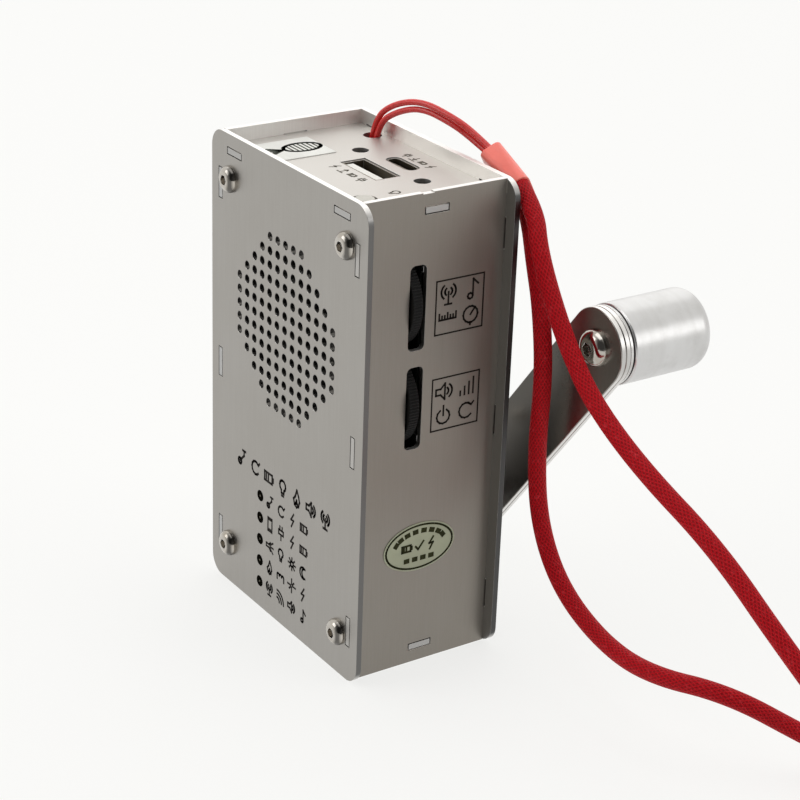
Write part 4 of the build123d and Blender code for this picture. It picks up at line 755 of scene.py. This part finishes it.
# A ring, an arc of eight blocks, three pictures and a row of four blocks.
sticker_x = right_wall_x + label_thickness
sticker_marks = Marks("sticker_print", (sticker_x, -1.1, 27.0), (0, 1, 0), (0, 0, 1), sticker_ink)
sticker_marks.stroke([(8.1 * x, 4.85 * y) for x, y in arc(0, 0, 1, 0, 360, 48)], 0.42)
sticker_marks.row(("cell", "tick", "bolt"), -3.0, 0.1, 3.0, 2.6, 0.48)
half_run, block_pen = 0.14, 1.1
arc_width, arc_height = 6.1, 3.3
for i in range(8):
    a = math.radians(158 - 19.4 * i)
    x, y = arc_width * math.cos(a), arc_height * math.sin(a) + 0.2
    tilt = math.atan2(arc_height * math.cos(a), -arc_width * math.sin(a)) + math.pi
    run = (half_run * math.cos(tilt), half_run * math.sin(tilt))
    sticker_marks.bar((x - run[0], y - run[1]), (x + run[0], y + run[1]), block_pen)
for x in (-3.0, -1.0, 1.0, 3.0):
    sticker_marks.bar((x - half_run, -2.75), (x + half_run, -2.75), block_pen)
sticker_marks.done()


# ---------------------------------------------------------------- floor, light and camera
def area_light(name, place, target, size, power):
    """A white rectangular lamp at a place, turned to a target."""
    lamp = bpy.data.lights.new(name, "AREA")
    lamp.shape = "RECTANGLE"
    lamp.size, lamp.size_y = size
    lamp.energy = power
    holder = bpy.data.objects.new(name, lamp)
    bpy.context.scene.collection.objects.link(holder)
    holder.location = place
    aim = Vector(target) - Vector(place)
    holder.rotation_euler = aim.to_track_quat("-Z", "Y").to_euler()


def seen_directly(finish):
    """1 for the camera and for mirror and glass rays, 0 for the light that the scene throws."""
    rays = finish.add("ShaderNodeLightPath").outputs
    seen = finish.sum("MAXIMUM", rays["Is Camera Ray"], rays["Is Glossy Ray"])
    return finish.sum("MAXIMUM", seen, rays["Is Transmission Ray"])


def pale_floor():
    """A wide floor that glows a little where it is seen, so that it stays near white."""
    mesh = bpy.data.meshes.new("floor")
    shape = bmesh.new()
    half_size, gap_below, glow_share = 2.5, 0.0002, 0.78
    bmesh.ops.create_grid(shape, x_segments=1, y_segments=1, size=half_size)
    shape.to_mesh(mesh)
    shape.free()
    finish = Finish("pale_floor")
    finish.colour((0.9, 0.9, 0.89, 1))
    finish.rough(0.9)
    glow = finish.add("ShaderNodeEmission")
    glow.inputs["Color"].default_value = (0.97, 0.97, 0.955, 1)
    mix = finish.add("ShaderNodeMixShader")
    finish.links.new(finish.sum("MULTIPLY", seen_directly(finish), glow_share), mix.inputs[0])
    finish.links.new(finish.shader.outputs[0], mix.inputs[1])
    finish.links.new(glow.outputs[0], mix.inputs[2])
    finish.links.new(mix.outputs[0], finish.nodes["Material Output"].inputs["Surface"])
    mesh.materials.append(finish.material)
    floor = bpy.data.objects.new("floor", mesh)
    bpy.context.scene.collection.objects.link(floor)
    floor.location = (0, 0, -gap_below)


def dim_side(world, backdrop, towards, bright, dim):
    """A room that is pale all round and dim towards one side, which the camera doesn't see."""
    tree = world.node_tree
    sky = tree.nodes.new("ShaderNodeTexCoord")
    turn = tree.nodes.new("ShaderNodeVectorMath")
    turn.operation = "DOT_PRODUCT"
    tree.links.new(sky.outputs["Generated"], turn.inputs[0])
    turn.inputs[1].default_value = Vector(towards).normalized()
    strength = tree.nodes.new("ShaderNodeMapRange")
    strength.interpolation_type = "SMOOTHSTEP"
    start, end = 0.42, 0.88
    for socket, value in (
        ("From Min", start), ("From Max", end), ("To Min", bright), ("To Max", dim),
    ):
        strength.inputs[socket].default_value = value
    tree.links.new(turn.outputs["Value"], strength.inputs["Value"])
    rays = tree.nodes.new("ShaderNodeLightPath")
    seen = tree.nodes.new("ShaderNodeMath")
    seen.operation = "MAXIMUM"
    tree.links.new(strength.outputs["Result"], seen.inputs[0])
    tree.links.new(rays.outputs["Is Camera Ray"], seen.inputs[1])
    tree.links.new(seen.outputs["Value"], backdrop.inputs["Strength"])


pale_floor()
world = bpy.data.worlds.new("studio")
bpy.context.scene.world = world
world.use_nodes = True
backdrop = world.node_tree.nodes["Background"]
backdrop.inputs["Color"].default_value = (1.0, 0.99, 0.965, 1)
dim_side(world, backdrop, (0.78, -0.50, 0.36), 0.92, 0.06)
area_light("rear_left_softbox", (-0.93, 0.63, 0.78), (0, 0, 0.06), (1.4, 1.4), 2.8)
area_light("front_left_softbox", (-0.52, -1.10, 0.80), (0, 0, 0.05), (0.8, 0.8), 4.0)
area_light("overhead_softbox", (0.1, 0.0, 1.2), (0, 0, 0.05), (0.9, 0.9), 3.0)
area_light("rear_right_softbox", (0.95, 0.66, 0.44), (0.05, 0.02, 0.07), (0.5, 0.5), 1.0)

lens = bpy.data.cameras.new("camera")
lens.sensor_width = 36.0
lens.lens = 98.207
camera = bpy.data.objects.new("camera", lens)
bpy.context.scene.collection.objects.link(camera)
# Fitted to twenty corners and holes of the case in the photograph.
camera.matrix_world = Matrix.Translation((0.350821, -0.227466, 0.235082)) @ Matrix((
    (0.550149, -0.356018, 0.755372),
    (0.834410, 0.198516, -0.514150),
    (0.033093, 0.913150, 0.406278),
)).to_4x4()
bpy.context.scene.camera = camera
bpy.context.scene.view_settings.view_transform = "Standard"
